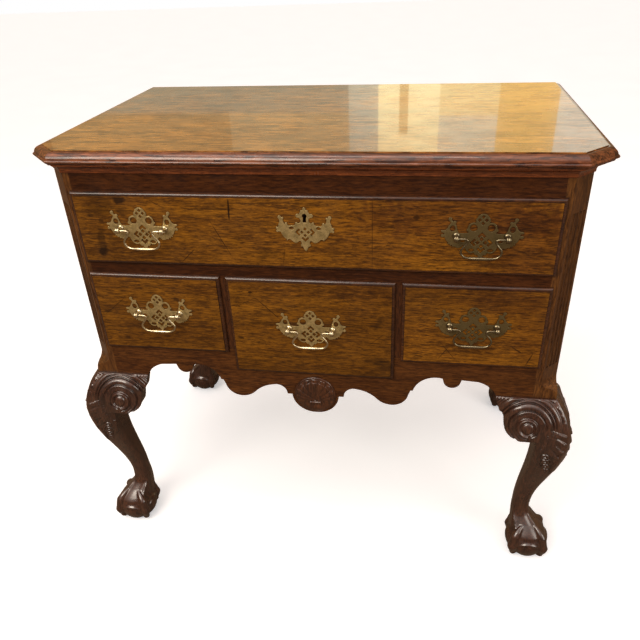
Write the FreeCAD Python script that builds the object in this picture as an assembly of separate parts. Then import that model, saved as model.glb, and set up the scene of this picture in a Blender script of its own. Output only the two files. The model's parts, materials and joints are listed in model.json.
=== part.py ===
"""Lowboy: a four-drawer dressing table on cabriole legs with ball-and-claw feet.

Millimetres. +Z is up, the drawers face -Y, and the origin is on the floor under the middle of the case.
"""
import FreeCAD, Part
import math
import os

from FreeCAD import Vector

# ------------------------------------------------------------------ driving dimensions

# Case
CASE_WIDTH = 820.0
CASE_DEPTH = 475.0
CASE_TOP = 766.0            # underside of the top board
POST_WIDTH = 39.0           # along X
POST_DEPTH = 44.0           # along Y
PANEL_THICKNESS = 18.0
BACK_THICKNESS = 12.0
BACK_RISE = 23.0            # lower edge of the back above the knee blocks
APRON_END_HEIGHT = 66.5     # from the side drawers' openings down to the knee blocks
RAIL_DEPTH = 20.0           # depth of every rail, divider and the apron, front to back

# Top board and the cove under it
TOP_THICKNESS = 20.0
TOP_SIDE_OVERHANG = 30.0
TOP_FRONT_OVERHANG = 19.0
TOP_BACK_OVERHANG = 20.0
TOP_CLIP = 37.0             # length of each clipped front corner along X and Y, at the upper arris
MOULD_PROJECTION = 16.0     # from the upper arris out to the bead
ARRIS_FILLET = 1.6
BEAD_RADIUS = 2.4
BEAD_CENTRE_DROP = 14.2     # below the top surface
COVE_HEIGHT = 15.0
COVE_PROJECTION = 13.0
COVE_FILLET = 2.0

# Front corner chamfer with flutes
CHAMFER = 28.0
TONGUE_RISE = 8.0           # foot of the lamb's tongue above the knee block
TONGUE_LENGTH = 24.0        # up to the full chamfer
FLUTE_COUNT = 4
FLUTE_PITCH = 8.0
FLUTE_RADIUS = 3.3
FLUTE_DEPTH = 2.3
FLUTE_HEAD = 70.0           # flutes end this far under the top board
FLUTE_FOOT = 26.0           # and this far over the lamb's tongue

# Drawer openings
TOP_RAIL_HEIGHT = 48.5
LONG_OPENING = 112.0
MIDDLE_RAIL_HEIGHT = 29.0
SHORT_OPENING = 138.0
DEEP_OPENING = 175.0
DEEP_OPENING_WIDTH = 269.0
DIVIDER_THICKNESS = 18.5

# Drawers
SEAT_GAP = 0.3              # under a drawer, and behind its lip
HEAD_GAP = 1.5              # over a drawer
SIDE_GAP = 1.2              # beside a drawer
LIP = 5.7                   # the thumbnail lip beyond the opening
FIELD_PROUD = 7.0           # the flat field in front of the case
LIP_EDGE = 1.6              # square edge left on the lip
LIP_STEP = 1.5              # step between the field and the thumbnail
FRONT_BODY = 14.0           # drawer front behind the lip
SIDE_THICKNESS = 12.0
DRAWER_BACK_THICKNESS = 12.0
BOTTOM_THICKNESS = 7.0
BOTTOM_RISE = 8.0           # bottom panel above the drawer's lower edge
GROOVE_DEPTH = 5.0
SIDE_DROP = 3.0             # drawer side below the top of the front
DRAWER_BACK_GAP = 25.0      # between a drawer and the back board
TAIL_LENGTH = 10.0          # lap of the half-blind dovetails
TAIL_PITCH = 44.0
TAIL_FLARE = 3.0

# Runners, guides and kickers
RUNNER_THICKNESS = 20.0
RUNNER_REACH = 26.0         # under the drawer side
GUIDE_HEIGHT = 26.0
KICKER_REACH = 16.0
PARTITION_HEIGHT = 120.0
SIDE_ARCH = 36.0            # rise of the side panel's shaped lower edge

# Cabriole legs
KNEE_DROP = 72.0            # furthest point of the knee below the knee block's top
KNEE_PROJECTION = 33.5      # in front of the case faces
KNEE_SHOULDER = 5.0         # projection where the knee meets the block
ANKLE_HEIGHT = 100.0
ANKLE_INSET = 8.0           # ankle's outer face behind the case face
ANKLE_SIZE = 32.0
ANKLE_FLARE = 22.0          # from the ankle out to the foot
ANKLE_ROUNDNESS = 0.42      # corner radius as a share of the section
KNEE_ROUNDNESS = 0.14
CALF_DROP = 102.0           # where the back of the leg is furthest out
CALF_INNER = 27.0
FOOT_JOIN = 60.0
FOOT_INSET = 7.0            # ball centre behind the case faces
BALL_RADIUS = 38.0
BALL_CENTRE = 31.5
BALL_ROWS = 7
BALL_SIDES = 16
TOE_LIFT = 1.5              # toe centreline over the ball
TOE_SPREAD = 90.0           # degrees between the front toe and each side toe
TOE_LAST = 127.0            # degrees round the ball from its top to the talon's tip
TOE_SIDES = 6
KNUCKLE_RADIUS = 8.5
KNUCKLES = (0.90, 1.06, 0.82, 1.02, 0.30)

# Pendant in the middle of the apron, and the shell carved on it
PENDANT_HALF = 75.0         # half width of the pendant, to the crest beside it
PENDANT_DROP = 91.5         # its point below the middle drawer's opening
SHELL_RIBS = 9
SHELL_RISE = 28.0           # where the ribs meet, above the pendant's point
SHELL_LENGTH = 44.0         # of the middle rib, to its turned end
SHELL_DROOP = 11.0          # how much shorter the outermost ribs are
SHELL_SPREAD = 62.0         # degrees from the middle rib to the outermost
SHELL_ROOT = 1.6            # half width of a rib at its root
SHELL_TIP = 5.6             # and near its end
SHELL_RELIEF = 1.5          # height of a rib as a share of its half width
SHELL_BAR = 11.0            # half width of the bar under the shell

# Knee brackets
BRACKET_REACH = 59.0        # from the post towards the middle of the case
BRACKET_DROP = 73.0
BRACKET_TIP_PROUD = 4.0
BRACKET_BACK = 10.0

# Brasses
PULL_RISE = 3.0             # post line above the middle of a drawer front
POST_SPACING = 73.4
PLATE_HALF = 58.6           # half width of a pull's back plate
PLATE_THICKNESS = 1.3
SHANK_SIZE = 4.4            # square shank
SHANK_CLEARANCE = 0.15
SHANK_END = 5.0             # shank behind the drawer front
POST_SIDES = 8
COLLAR_RADIUS = 5.4
COLLAR_THICKNESS = 1.6
NECK_RADIUS = 3.3
KNOB_RADIUS = 4.9
EYE_WIDTH = 7.6             # between the flat cheeks of a post's head
EYE_STANDOFF = 11.5         # bail axis in front of the back plate
BAIL_RADIUS = 1.7
BAIL_CLEARANCE = 0.08
BAIL_DROP = 30.4
BAIL_SIDES = 8
BAIL_MOUTH = 19.6           # half width between the turned-in ends
BAIL_WIDEST = 28.8
PIN_END = 1.6               # beyond the middle of each post
BAIL_GRIP_RADIUS = 2.5
BAIL_GRIP_HALF = 11.0

# Escutcheon and lock
ESCUTCHEON_HALF = 44.8      # half width
LOCK_WIDTH = 62.0
LOCK_HEIGHT = 40.0
LOCK_THICKNESS = 9.0
BOLT_WIDTH = 24.0
BOLT_THICKNESS = 5.0
BOLT_LENGTH = 26.0
BOLT_THROW = 8.0
BOLT_CLEARANCE = 0.3
KEYHOLE_RADIUS = 3.6
KEYHOLE_SLOT = 2.4
KEYHOLE_DROP = 10.5
KEYHOLE_DEPTH = 27.5        # middle of its round below the long drawer's opening

# ------------------------------------------------------------------ derived places

FRONT = -CASE_DEPTH / 2
BACK = CASE_DEPTH / 2
SIDE = CASE_WIDTH / 2
TOP = CASE_TOP + TOP_THICKNESS
OPENING_SIDE = SIDE - POST_WIDTH
FRAME_BACK = FRONT + RAIL_DEPTH
FRONT_POST_BACK = FRONT + POST_DEPTH
REAR_POST_FRONT = BACK - POST_DEPTH
PANEL_INNER = SIDE - PANEL_THICKNESS
BACK_INNER = BACK - BACK_THICKNESS

LONG_TOP = CASE_TOP - TOP_RAIL_HEIGHT
LONG_BOTTOM = LONG_TOP - LONG_OPENING
LOWER_TOP = LONG_BOTTOM - MIDDLE_RAIL_HEIGHT
SHORT_BOTTOM = LOWER_TOP - SHORT_OPENING
DEEP_BOTTOM = LOWER_TOP - DEEP_OPENING
DIVIDER_INNER = DEEP_OPENING_WIDTH / 2
DIVIDER_OUTER = DIVIDER_INNER + DIVIDER_THICKNESS
PULL_X = (DIVIDER_OUTER + OPENING_SIDE) / 2

BLOCK_BOTTOM = SHORT_BOTTOM - APRON_END_HEIGHT
BACK_BOTTOM = BLOCK_BOTTOM + BACK_RISE
TONGUE_BOTTOM = BLOCK_BOTTOM + TONGUE_RISE
TONGUE_TOP = TONGUE_BOTTOM + TONGUE_LENGTH
FLUTE_BOTTOM = TONGUE_TOP + FLUTE_FOOT
FLUTE_TOP = CASE_TOP - FLUTE_HEAD
KNEE_HEIGHT = BLOCK_BOTTOM - KNEE_DROP
CALF_HEIGHT = BLOCK_BOTTOM - CALF_DROP
PENDANT_POINT = DEEP_BOTTOM - PENDANT_DROP
SHELL_BASE = PENDANT_POINT + SHELL_RISE
KEYHOLE_HEIGHT = LONG_TOP - KEYHOLE_DEPTH

FIELD_FACE = FRONT - FIELD_PROUD
FRONT_BOARD_BACK = FRONT + FRONT_BODY
DRAWER_SIDE_END = BACK_INNER - DRAWER_BACK_GAP
EYE_Y = FIELD_FACE - PLATE_THICKNESS - EYE_STANDOFF

REACH = CASE_WIDTH          # long enough to pass any edge of the case
ROOT_HALF = math.sqrt(0.5)

# Each drawer: name, lower corner and upper corner of its opening in X and Z, and its pulls' X
DRAWERS = (
    ("top_drawer", -OPENING_SIDE, OPENING_SIDE, LONG_BOTTOM, LONG_TOP, (-PULL_X, PULL_X)),
    ("left_drawer", -OPENING_SIDE, -DIVIDER_OUTER, SHORT_BOTTOM, LOWER_TOP, (-PULL_X,)),
    ("middle_drawer", -DIVIDER_INNER, DIVIDER_INNER, DEEP_BOTTOM, LOWER_TOP, (0.0,)),
    ("right_drawer", DIVIDER_OUTER, OPENING_SIDE, SHORT_BOTTOM, LOWER_TOP, (PULL_X,)),
)


# ------------------------------------------------------------------ helpers

def box(x0, x1, y0, y1, z0, z1):
    """Box between two opposite corners."""
    return Part.makeBox(x1 - x0, y1 - y0, z1 - z0, Vector(x0, y0, z0))


def flip_x(shape):
    """The same shape on the other side of the middle."""
    return shape.mirror(Vector(0, 0, 0), Vector(1, 0, 0))


def flip_y(shape):
    """The same shape at the other end, front to back."""
    return shape.mirror(Vector(0, 0, 0), Vector(0, 1, 0))


def trace(start, steps, place):
    """Edges along an outline. A step is its end point, or a point on the arc and then the end point."""
    edges = []
    here = start
    for step in steps:
        end = step[-2:]
        if len(step) == 4:
            edges.append(Part.Arc(place(*here), place(*step[:2]), place(*end)).toShape())
        else:
            edges.append(Part.makeLine(place(*here), place(*end)))
        here = end
    return edges


def closed_face(start, steps, place):
    """Face inside an outline that ends where it starts."""
    return Part.Face(Part.Wire(trace(start, steps, place)))


def mirrored_face(start, steps, place):
    """Face whose right half runs from the middle at the top to the middle at the bottom."""
    right = trace(start, steps, place)
    middle = place(0, 0)
    left = [edge.mirror(middle, Vector(1, 0, 0)) for edge in right]
    return Part.Face(Part.Wire(Part.__sortEdges__(right + left)))


def in_xz(y):
    """Places outline points in the plane that faces the front at y."""
    return lambda x, z: Vector(x, y, z)


def in_yz(x):
    """Places outline points in the plane that faces the side at x."""
    return lambda y, z: Vector(x, y, z)


def in_xy(z):
    """Places outline points in the level plane at z."""
    return lambda x, y: Vector(x, y, z)


def both_sides(shape):
    """A group of the shape and its mirror image."""
    return Part.makeCompound([shape, flip_x(shape)])


def all_both_sides(shapes):
    """Several pieces and their mirror images as one node."""
    return Part.makeCompound([piece for shape in shapes for piece in (shape, flip_x(shape))])


def ring(centre, across, up, radius, sides):
    """Corners of an even polygon round a centre, with a flat at the top."""
    corners = []
    for step in range(sides):
        turn = 2 * math.pi * (step + 0.5) / sides
        corners.append(centre + (across * math.sin(turn) + up * math.cos(turn)) * radius)
    return corners


def flat_sided(rings, twisted=False):
    """Closed solid with flat faces between rings of corners. Twisted sides take two triangles."""
    outlines = [rings[0], rings[-1]]
    for before, after in zip(rings, rings[1:]):
        for index in range(len(before)):
            quad = [before[index - 1], before[index], after[index], after[index - 1]]
            outlines += [quad[:3], [quad[0], quad[2], quad[3]]] if twisted else [quad]
    faces = [Part.Face(Part.makePolygon(outline + outline[:1])) for outline in outlines]
    solid = Part.makeSolid(Part.makeShell(faces))
    if solid.Volume < 0:
        solid.reverse()
    return solid


def export(name, shape):
    """Write one node after checking that its solids are sound."""
    if not shape.isValid() or not shape.Solids:
        raise ValueError("unsound shape in " + name)
    shape.exportStep(os.path.join("parts", name + ".step"))


# ------------------------------------------------------------------ top board and cove

def moulded_half_space(angle, arris):
    """Board moulded on one edge, which faces the given direction; it runs far past the others."""
    bead_face = arris + MOULD_PROJECTION - BEAD_RADIUS
    bead_top = TOP - BEAD_CENTRE_DROP + BEAD_RADIUS
    bead_low = TOP - BEAD_CENTRE_DROP - BEAD_RADIUS
    ovolo_start = arris + ARRIS_FILLET
    ovolo_top = TOP - ARRIS_FILLET
    ovolo_run = bead_face - ovolo_start
    ovolo_fall = ovolo_top - bead_top
    soffit = bead_face - BEAD_RADIUS
    steps = (
        (arris, TOP),
        (arris, ovolo_top),
        (ovolo_start, ovolo_top),
        (ovolo_start + 0.68 * ovolo_run, ovolo_top - 0.30 * ovolo_fall, bead_face, bead_top),
        (arris + MOULD_PROJECTION, TOP - BEAD_CENTRE_DROP, bead_face, bead_low),
        (soffit, bead_low),
        (soffit, CASE_TOP),
        (-REACH, CASE_TOP),
        (-REACH, TOP),
    )
    section = closed_face((-REACH, TOP), steps, lambda d, z: Vector(d, -REACH, z))
    board = section.extrude(Vector(0, 2 * REACH, 0))
    board.rotate(Vector(0, 0, 0), Vector(0, 0, 1), angle)
    return board


def top_board():
    """Board with moulded front, sides and clipped corners, and a plain back edge."""
    side_arris = SIDE + TOP_SIDE_OVERHANG - MOULD_PROJECTION
    front_arris = -FRONT + TOP_FRONT_OVERHANG - MOULD_PROJECTION
    clip_arris = (side_arris + front_arris - TOP_CLIP) * ROOT_HALF
    board = moulded_half_space(0, side_arris)
    for angle, arris in ((180, side_arris), (-90, front_arris), (-45, clip_arris), (-135, clip_arris)):
        board = board.common(moulded_half_space(angle, arris))
    return board.common(box(-REACH, REACH, -REACH, BACK + TOP_BACK_OVERHANG, 0, TOP))


def cove_strip(start, end, normal_before, normal_after):
    """Cove moulding along one straight run of the case, mitred to the runs before and after it."""
    along = (end - start).normalize()
    normal = Vector(along.y, -along.x, 0)

    def mitre(other):
        return (normal + other) * (1 / (1 + normal.dot(other)))

    low = CASE_TOP - COVE_HEIGHT
    crown = CASE_TOP - COVE_FILLET
    run_out = COVE_PROJECTION - COVE_FILLET
    rise = crown - low - COVE_FILLET
    steps = (
        (COVE_FILLET, low),
        (COVE_FILLET, low + COVE_FILLET),
        (COVE_FILLET + 0.30 * run_out, low + COVE_FILLET + 0.70 * rise, COVE_PROJECTION, crown),
        (COVE_PROJECTION, CASE_TOP),
        (0, CASE_TOP),
        (0, low),
    )
    beyond = along * COVE_PROJECTION
    section = closed_face((0, low), steps, lambda d, z: start - beyond + normal * d + Vector(0, 0, z))
    run = section.extrude(end - start + beyond * 2)
    far = 2 * COVE_PROJECTION
    plan = (start, start + mitre(normal_before) * far, end + mitre(normal_after) * far, end)
    wedge = Part.Face(Part.makePolygon(list(plan) + [start])).extrude(Vector(0, 0, TOP))
    return run.common(wedge)


def coves():
    """Front run with its two canted returns, and the two side runs."""
    back_end = Vector(SIDE, BACK, 0)
    side_front = Vector(SIDE, FRONT + CHAMFER, 0)
    front_right = Vector(SIDE - CHAMFER, FRONT, 0)
    front_left = Vector(-front_right.x, FRONT, 0)
    right = Vector(1, 0, 0)
    left = Vector(-1, 0, 0)
    canted = Vector(ROOT_HALF, -ROOT_HALF, 0)
    canted_left = Vector(-ROOT_HALF, -ROOT_HALF, 0)
    ahead = Vector(0, -1, 0)
    front_run = cove_strip(front_left, front_right, canted_left, canted)
    corner = cove_strip(front_right, side_front, ahead, right)
    side = cove_strip(side_front, back_end, canted, right)
    return Part.makeCompound([front_run, corner, flip_x(corner)]), both_sides(side)


# ------------------------------------------------------------------ legs

def swing(low, high, share):
    """Smooth change from low to high, level at both ends."""
    return low + (high - low) * (1 - math.cos(math.pi * share)) / 2


def bow(rise, run, along):
    """Rise, part of the way along, of an arc that starts level and gains the rise over its run."""
    radius = (run * run + rise * rise) / (2 * rise)
    return radius - math.sqrt(radius * radius - along * along)


def leg_outer(height):
    """How far the leg's outer faces stand in front of the case faces."""
    if height > KNEE_HEIGHT:
        fall = bow(KNEE_PROJECTION - KNEE_SHOULDER, BLOCK_BOTTOM - KNEE_HEIGHT, height - KNEE_HEIGHT)
        return KNEE_PROJECTION - fall
    if height > ANKLE_HEIGHT:
        return swing(-ANKLE_INSET, KNEE_PROJECTION, (height - ANKLE_HEIGHT) / (KNEE_HEIGHT - ANKLE_HEIGHT))
    return bow(ANKLE_FLARE, ANKLE_HEIGHT - FOOT_JOIN, ANKLE_HEIGHT - height) - ANKLE_INSET


def leg_inner(height):
    """How far the leg's inner faces stand behind the case faces."""
    if height > CALF_HEIGHT:
        return CALF_INNER + bow(POST_WIDTH - CALF_INNER, BLOCK_BOTTOM - CALF_HEIGHT, height - CALF_HEIGHT)
    if height > ANKLE_HEIGHT:
        share = (height - ANKLE_HEIGHT) / (CALF_HEIGHT - ANKLE_HEIGHT)
        return swing(ANKLE_SIZE + ANKLE_INSET, CALF_INNER, share)
    return ANKLE_SIZE + ANKLE_INSET + bow(1.0, ANKLE_HEIGHT - FOOT_JOIN, ANKLE_HEIGHT - height)


def leg_cant(height):
    """Depth that the worked corners lose; the ankle is nearly round and the knee nearly square."""
    share = (height - ANKLE_HEIGHT) / (BLOCK_BOTTOM - ANKLE_HEIGHT)
    roundness = ANKLE_ROUNDNESS + (KNEE_ROUNDNESS - ANKLE_ROUNDNESS) * share
    return roundness * (math.sqrt(2) - 1) * (leg_outer(height) + leg_inner(height))


def sawn(front_curve, back_curve, direction):
    """Blank of the right front leg, sawn to two curves of its height that face along the direction."""
    shin = (KNEE_HEIGHT - ANKLE_HEIGHT) / 4
    heights = [FOOT_JOIN, (FOOT_JOIN + ANKLE_HEIGHT) / 2]
    heights += [ANKLE_HEIGHT + shin * step for step in range(5)]
    heights += [(KNEE_HEIGHT + BLOCK_BOTTOM) / 2, BLOCK_BOTTOM]

    def arcs(curve, levels):
        return [(curve(via), via, curve(end), end) for via, end in zip(levels[1::2], levels[2::2])]

    start = (front_curve(FOOT_JOIN), FOOT_JOIN)
    steps = arcs(front_curve, heights) + [(back_curve(BLOCK_BOTTOM), BLOCK_BOTTOM)]
    steps += arcs(back_curve, heights[::-1]) + [start]
    across = Vector(-direction.y, direction.x, 0)
    corner = Vector(SIDE, FRONT, 0) - across * POST_DEPTH * 3

    def place(out, z):
        return corner + direction * out + Vector(0, 0, z)

    return closed_face(start, steps, place).extrude(across * POST_DEPTH * 6)


def cabriole():
    """Knee, shin and ankle, sawn from two faces by one template, then the four corners worked off."""
    root_two = math.sqrt(2)

    def outer_corner(height):
        return root_two * leg_outer(height) - leg_cant(height)

    def inner_corner(height):
        return leg_cant(height) - root_two * leg_inner(height)

    def side_corner(height):
        return (leg_outer(height) + leg_inner(height)) / root_two - leg_cant(height)

    def inner_face(height):
        return -leg_inner(height)

    blank = sawn(leg_outer, inner_face, Vector(1, 0, 0)).common(sawn(leg_outer, inner_face, Vector(0, -1, 0)))
    blank = blank.common(sawn(outer_corner, inner_corner, Vector(ROOT_HALF, -ROOT_HALF, 0)))
    off_side = sawn(side_corner, lambda height: -side_corner(height), Vector(ROOT_HALF, ROOT_HALF, 0))
    return blank.common(off_side)


def toe(centre, azimuth, first):
    """One toe gripping the ball: knuckles swell and narrow along it, down to a talon."""
    reach_out = BALL_RADIUS + TOE_LIFT
    flat = Vector(math.cos(azimuth), math.sin(azimuth), 0)
    side = Vector(-flat.y, flat.x, 0)
    rings = []
    for index, swell in enumerate(KNUCKLES):
        polar = math.radians(first + (TOE_LAST - first) * index / (len(KNUCKLES) - 1))
        out = flat * math.sin(polar) + Vector(0, 0, math.cos(polar))
        rings.append(ring(centre + out * reach_out, side, out, KNUCKLE_RADIUS * swell, TOE_SIDES))
    return flat_sided(rings, twisted=True)


def carved_ball(centre):
    """Ball worked with flat cuts in rows round its upright axis, flat underneath."""
    lowest = math.acos(-BALL_CENTRE / BALL_RADIUS)
    highest = math.acos((FOOT_JOIN + 4 - BALL_CENTRE) / BALL_RADIUS)
    rings = []
    for row in range(BALL_ROWS + 1):
        polar = highest + (lowest - highest) * row / BALL_ROWS
        level = centre + Vector(0, 0, BALL_RADIUS * math.cos(polar))
        rings.append(ring(level, Vector(1, 0, 0), Vector(0, 1, 0), BALL_RADIUS * math.sin(polar), BALL_SIDES))
    return flat_sided(rings)


def claw_foot():
    """Ball gripped by three toes in front and one behind."""
    centre = Vector(SIDE - FOOT_INSET, FRONT + FOOT_INSET, BALL_CENTRE)
    outward = -math.pi / 4
    spread = math.radians(TOE_SPREAD)
    toes = [
        toe(centre, outward, 24),
        toe(centre, outward - spread, 32),
        toe(centre, outward + spread, 32),
        toe(centre, outward + math.pi, 40),
    ]
    return carved_ball(centre).multiFuse(toes)


def chamfer_waste():
    """What the chamfer, its lamb's tongue and its flutes take off the right front corner."""
    depth = CHAMFER * ROOT_HALF
    corner = Vector(SIDE, FRONT, 0)
    inward = Vector(-ROOT_HALF, ROOT_HALF, 0)
    across = Vector(ROOT_HALF, ROOT_HALF, 0)
    middle = (TONGUE_TOP + TONGUE_BOTTOM) / 2
    quarter = (TONGUE_TOP - TONGUE_BOTTOM) / 4
    steps = (
        (depth, CASE_TOP + 1),
        (depth, TONGUE_TOP),
        (0.84 * depth, middle + quarter * 0.8, 0.5 * depth, middle),
        (0.16 * depth, middle - quarter * 0.8, 0, TONGUE_BOTTOM),
        (-depth, TONGUE_BOTTOM),
        (-depth, CASE_TOP + 1),
    )
    half_width = across * (1.5 * CHAMFER)

    def place(inset, z):
        return corner - half_width + inward * inset + Vector(0, 0, z)

    waste = closed_face((-depth, CASE_TOP + 1), steps, place).extrude(half_width * 2)
    sink = depth + FLUTE_DEPTH - FLUTE_RADIUS
    flutes = []
    for index in range(FLUTE_COUNT):
        offset = (index - (FLUTE_COUNT - 1) / 2) * FLUTE_PITCH
        foot = corner + inward * sink + across * offset + Vector(0, 0, FLUTE_BOTTOM)
        flutes.append(Part.makeCylinder(FLUTE_RADIUS, FLUTE_TOP - FLUTE_BOTTOM, foot))
    return waste.multiFuse(flutes)


def right_legs():
    """The two legs of the right side: the front one chamfered, the rear one with a plain post."""
    lower = cabriole().fuse(claw_foot())
    post = box(OPENING_SIDE, SIDE, FRONT, FRONT_POST_BACK, BLOCK_BOTTOM, CASE_TOP)
    front = lower.fuse(post.cut(chamfer_waste()))
    rear = flip_y(lower.fuse(post))
    return front, rear


def knee_bracket(leg):
    """Shaped block beside the right front knee, under the apron's end, bedded against the leg."""
    outer = OPENING_SIDE + 8
    tip = OPENING_SIDE - BRACKET_REACH
    low = BLOCK_BOTTOM - BRACKET_DROP
    outline = (
        (tip, BLOCK_BOTTOM),
        (tip + 3, BLOCK_BOTTOM - 14),
        (tip + 7, BLOCK_BOTTOM - 25),
        (tip + 14.5, BLOCK_BOTTOM - 31),
        (tip + 17, BLOCK_BOTTOM - 45),
        (tip + 22, low + 10.5, tip + 34, low + 1.5),
        (outer, low),
        (outer, BLOCK_BOTTOM),
    )
    face = FRONT - KNEE_PROJECTION
    block = closed_face((outer, BLOCK_BOTTOM), outline, in_xz(face))
    block = block.extrude(Vector(0, KNEE_PROJECTION + BRACKET_BACK, 0))
    plan = (
        (outer, FRONT - KNEE_PROJECTION * 0.92),
        (outer, FRONT + BRACKET_BACK),
        (tip, FRONT + BRACKET_BACK),
        (tip, FRONT - BRACKET_TIP_PROUD),
        (tip + 0.5 * BRACKET_REACH, FRONT - 0.42 * KNEE_PROJECTION),
        (outer, FRONT - KNEE_PROJECTION * 0.92),
    )
    taper = closed_face(plan[0], plan[1:], in_xy(low - 1)).extrude(Vector(0, 0, BRACKET_DROP + 2))
    middle = (BLOCK_BOTTOM + low) / 2
    bulge = (
        (FRONT + BRACKET_BACK, BLOCK_BOTTOM),
        (FRONT - KNEE_SHOULDER, BLOCK_BOTTOM),
        (FRONT - leg_outer(middle), middle, FRONT - leg_outer(low), low),
        (FRONT + BRACKET_BACK, low),
    )
    curve = closed_face(bulge[-1], bulge, in_yz(tip)).extrude(Vector(outer - tip, 0, 0))
    return block.common(taper).common(curve).cut(leg)


def turned_to_side(shape):
    """The piece for the front face turned onto the side face of the same corner."""
    corner = Vector(SIDE, FRONT, 0)
    return shape.mirror(corner, Vector(1, 1, 0))


# ------------------------------------------------------------------ case boards

def pendant(share, rise):
    """Point on the pendant's edge, in shares of the pendant's half width and height."""
    return share * PENDANT_HALF, PENDANT_POINT + rise * PENDANT_DROP


def scallop(share, rise):
    """Point on the apron's lower edge: share of the way from pendant to bracket, and of the height."""
    tip = OPENING_SIDE - BRACKET_REACH
    return PENDANT_HALF + share * (tip - PENDANT_HALF), PENDANT_POINT + rise * PENDANT_DROP


def front_apron():
    """Scalloped board under the lower drawers, notched for the deep middle drawer."""
    steps = (
        (DIVIDER_INNER, DEEP_BOTTOM),
        (DIVIDER_INNER, SHORT_BOTTOM),
        (OPENING_SIDE, SHORT_BOTTOM),
        (OPENING_SIDE, BLOCK_BOTTOM),
        (OPENING_SIDE - BRACKET_REACH, BLOCK_BOTTOM),
        scallop(0.945, 0.852) + scallop(0.869, 0.951),
        scallop(0.751, 0.973),
        scallop(0.739, 0.874),
        scallop(0.683, 0.787) + scallop(0.629, 0.874),
        scallop(0.616, 0.984),
        scallop(0.485, 0.934) + scallop(0.409, 0.667),
        scallop(0.393, 0.667),
        scallop(0.377, 0.557),
        scallop(0.333, 0.366) + scallop(0.264, 0.298),
        scallop(0.194, 0.333) + scallop(0.139, 0.443),
        scallop(0.072, 0.563) + scallop(0.000, 0.617),
        pendant(0.787, 0.590) + pendant(0.680, 0.415),
        pendant(0.560, 0.415),
        pendant(0.413, 0.131) + pendant(0.000, 0.000),
    )
    outline = mirrored_face((0, DEEP_BOTTOM), steps, in_xz(FRONT))
    return outline.extrude(Vector(0, RAIL_DEPTH, 0))


def shell_rib(root, ray, length):
    """Rib of the shell: rounded across, widening from the root, and turned down at its end."""
    across = Vector(ray.z, 0, -ray.x)
    section = ((-1, 0), (-0.62, 0.8), (0, 1), (0.62, 0.8), (1, 0))
    rings = []
    for distance, width in ((0, SHELL_ROOT), (length, SHELL_TIP), (length + SHELL_TIP, SHELL_TIP * 0.4)):
        here = root + ray * distance
        relief = Vector(0, width * SHELL_RELIEF, 0)
        rings.append([here + across * (u * width) - relief * v for u, v in section])
    return flat_sided(rings)


def apron_shell():
    """Fan of tapered ribs on the apron's pendant, over a short bar."""
    root = Vector(0, FRONT, SHELL_BASE)
    ribs = []
    for index in range(SHELL_RIBS):
        share = index / (SHELL_RIBS - 1) * 2 - 1
        angle = math.radians(SHELL_SPREAD * share)
        length = SHELL_LENGTH - SHELL_DROOP * share * share
        ribs.append(shell_rib(root, Vector(math.sin(angle), 0, math.cos(angle)), length))
    bar = box(-SHELL_BAR, SHELL_BAR, FRONT - SHELL_TIP * SHELL_RELIEF, FRONT, SHELL_BASE - 5, SHELL_BASE + 1)
    return bar.multiFuse(ribs)


def top_rail():
    """Front rail over the long drawer, with the mortise that takes the lock bolt."""
    rail = box(-OPENING_SIDE, OPENING_SIDE, FRONT, FRAME_BACK, LONG_TOP, CASE_TOP)
    gap = BOLT_CLEARANCE
    half = BOLT_WIDTH / 2 + gap
    bolt_back = BOLT_FRONT + BOLT_THICKNESS
    mortise = box(-half, half, BOLT_FRONT - gap, bolt_back + gap, LONG_TOP, LONG_TOP + BOLT_THROW + 2)
    return rail.cut(mortise)


def side_panel():
    """Right side board between the posts, with an arched lower edge."""
    half = (REAR_POST_FRONT - FRONT_POST_BACK) / 2
    middle = (REAR_POST_FRONT + FRONT_POST_BACK) / 2
    arch = BLOCK_BOTTOM + SIDE_ARCH
    steps = (
        (half, CASE_TOP),
        (half, BLOCK_BOTTOM),
        (half - BRACKET_REACH, BLOCK_BOTTOM),
        (half - BRACKET_REACH - 4, BLOCK_BOTTOM + 0.7 * SIDE_ARCH, half - BRACKET_REACH - 34, arch),
        (half - BRACKET_REACH - 66, arch),
        (half - BRACKET_REACH - 70, arch - 8),
        (0.20 * half, arch - 16, 0, arch - 18),
    )
    right = trace((0, CASE_TOP), steps, in_yz(PANEL_INNER))
    left = [edge.mirror(Vector(0, 0, 0), Vector(0, 1, 0)) for edge in right]
    board = Part.Face(Part.Wire(Part.__sortEdges__(right + left))).extrude(Vector(PANEL_THICKNESS, 0, 0))
    board.translate(Vector(0, middle, 0))
    return board


def back_board():
    """Plain board across the back, between the rear posts."""
    return box(-OPENING_SIDE, OPENING_SIDE, BACK_INNER, BACK, BACK_BOTTOM, CASE_TOP)


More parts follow.
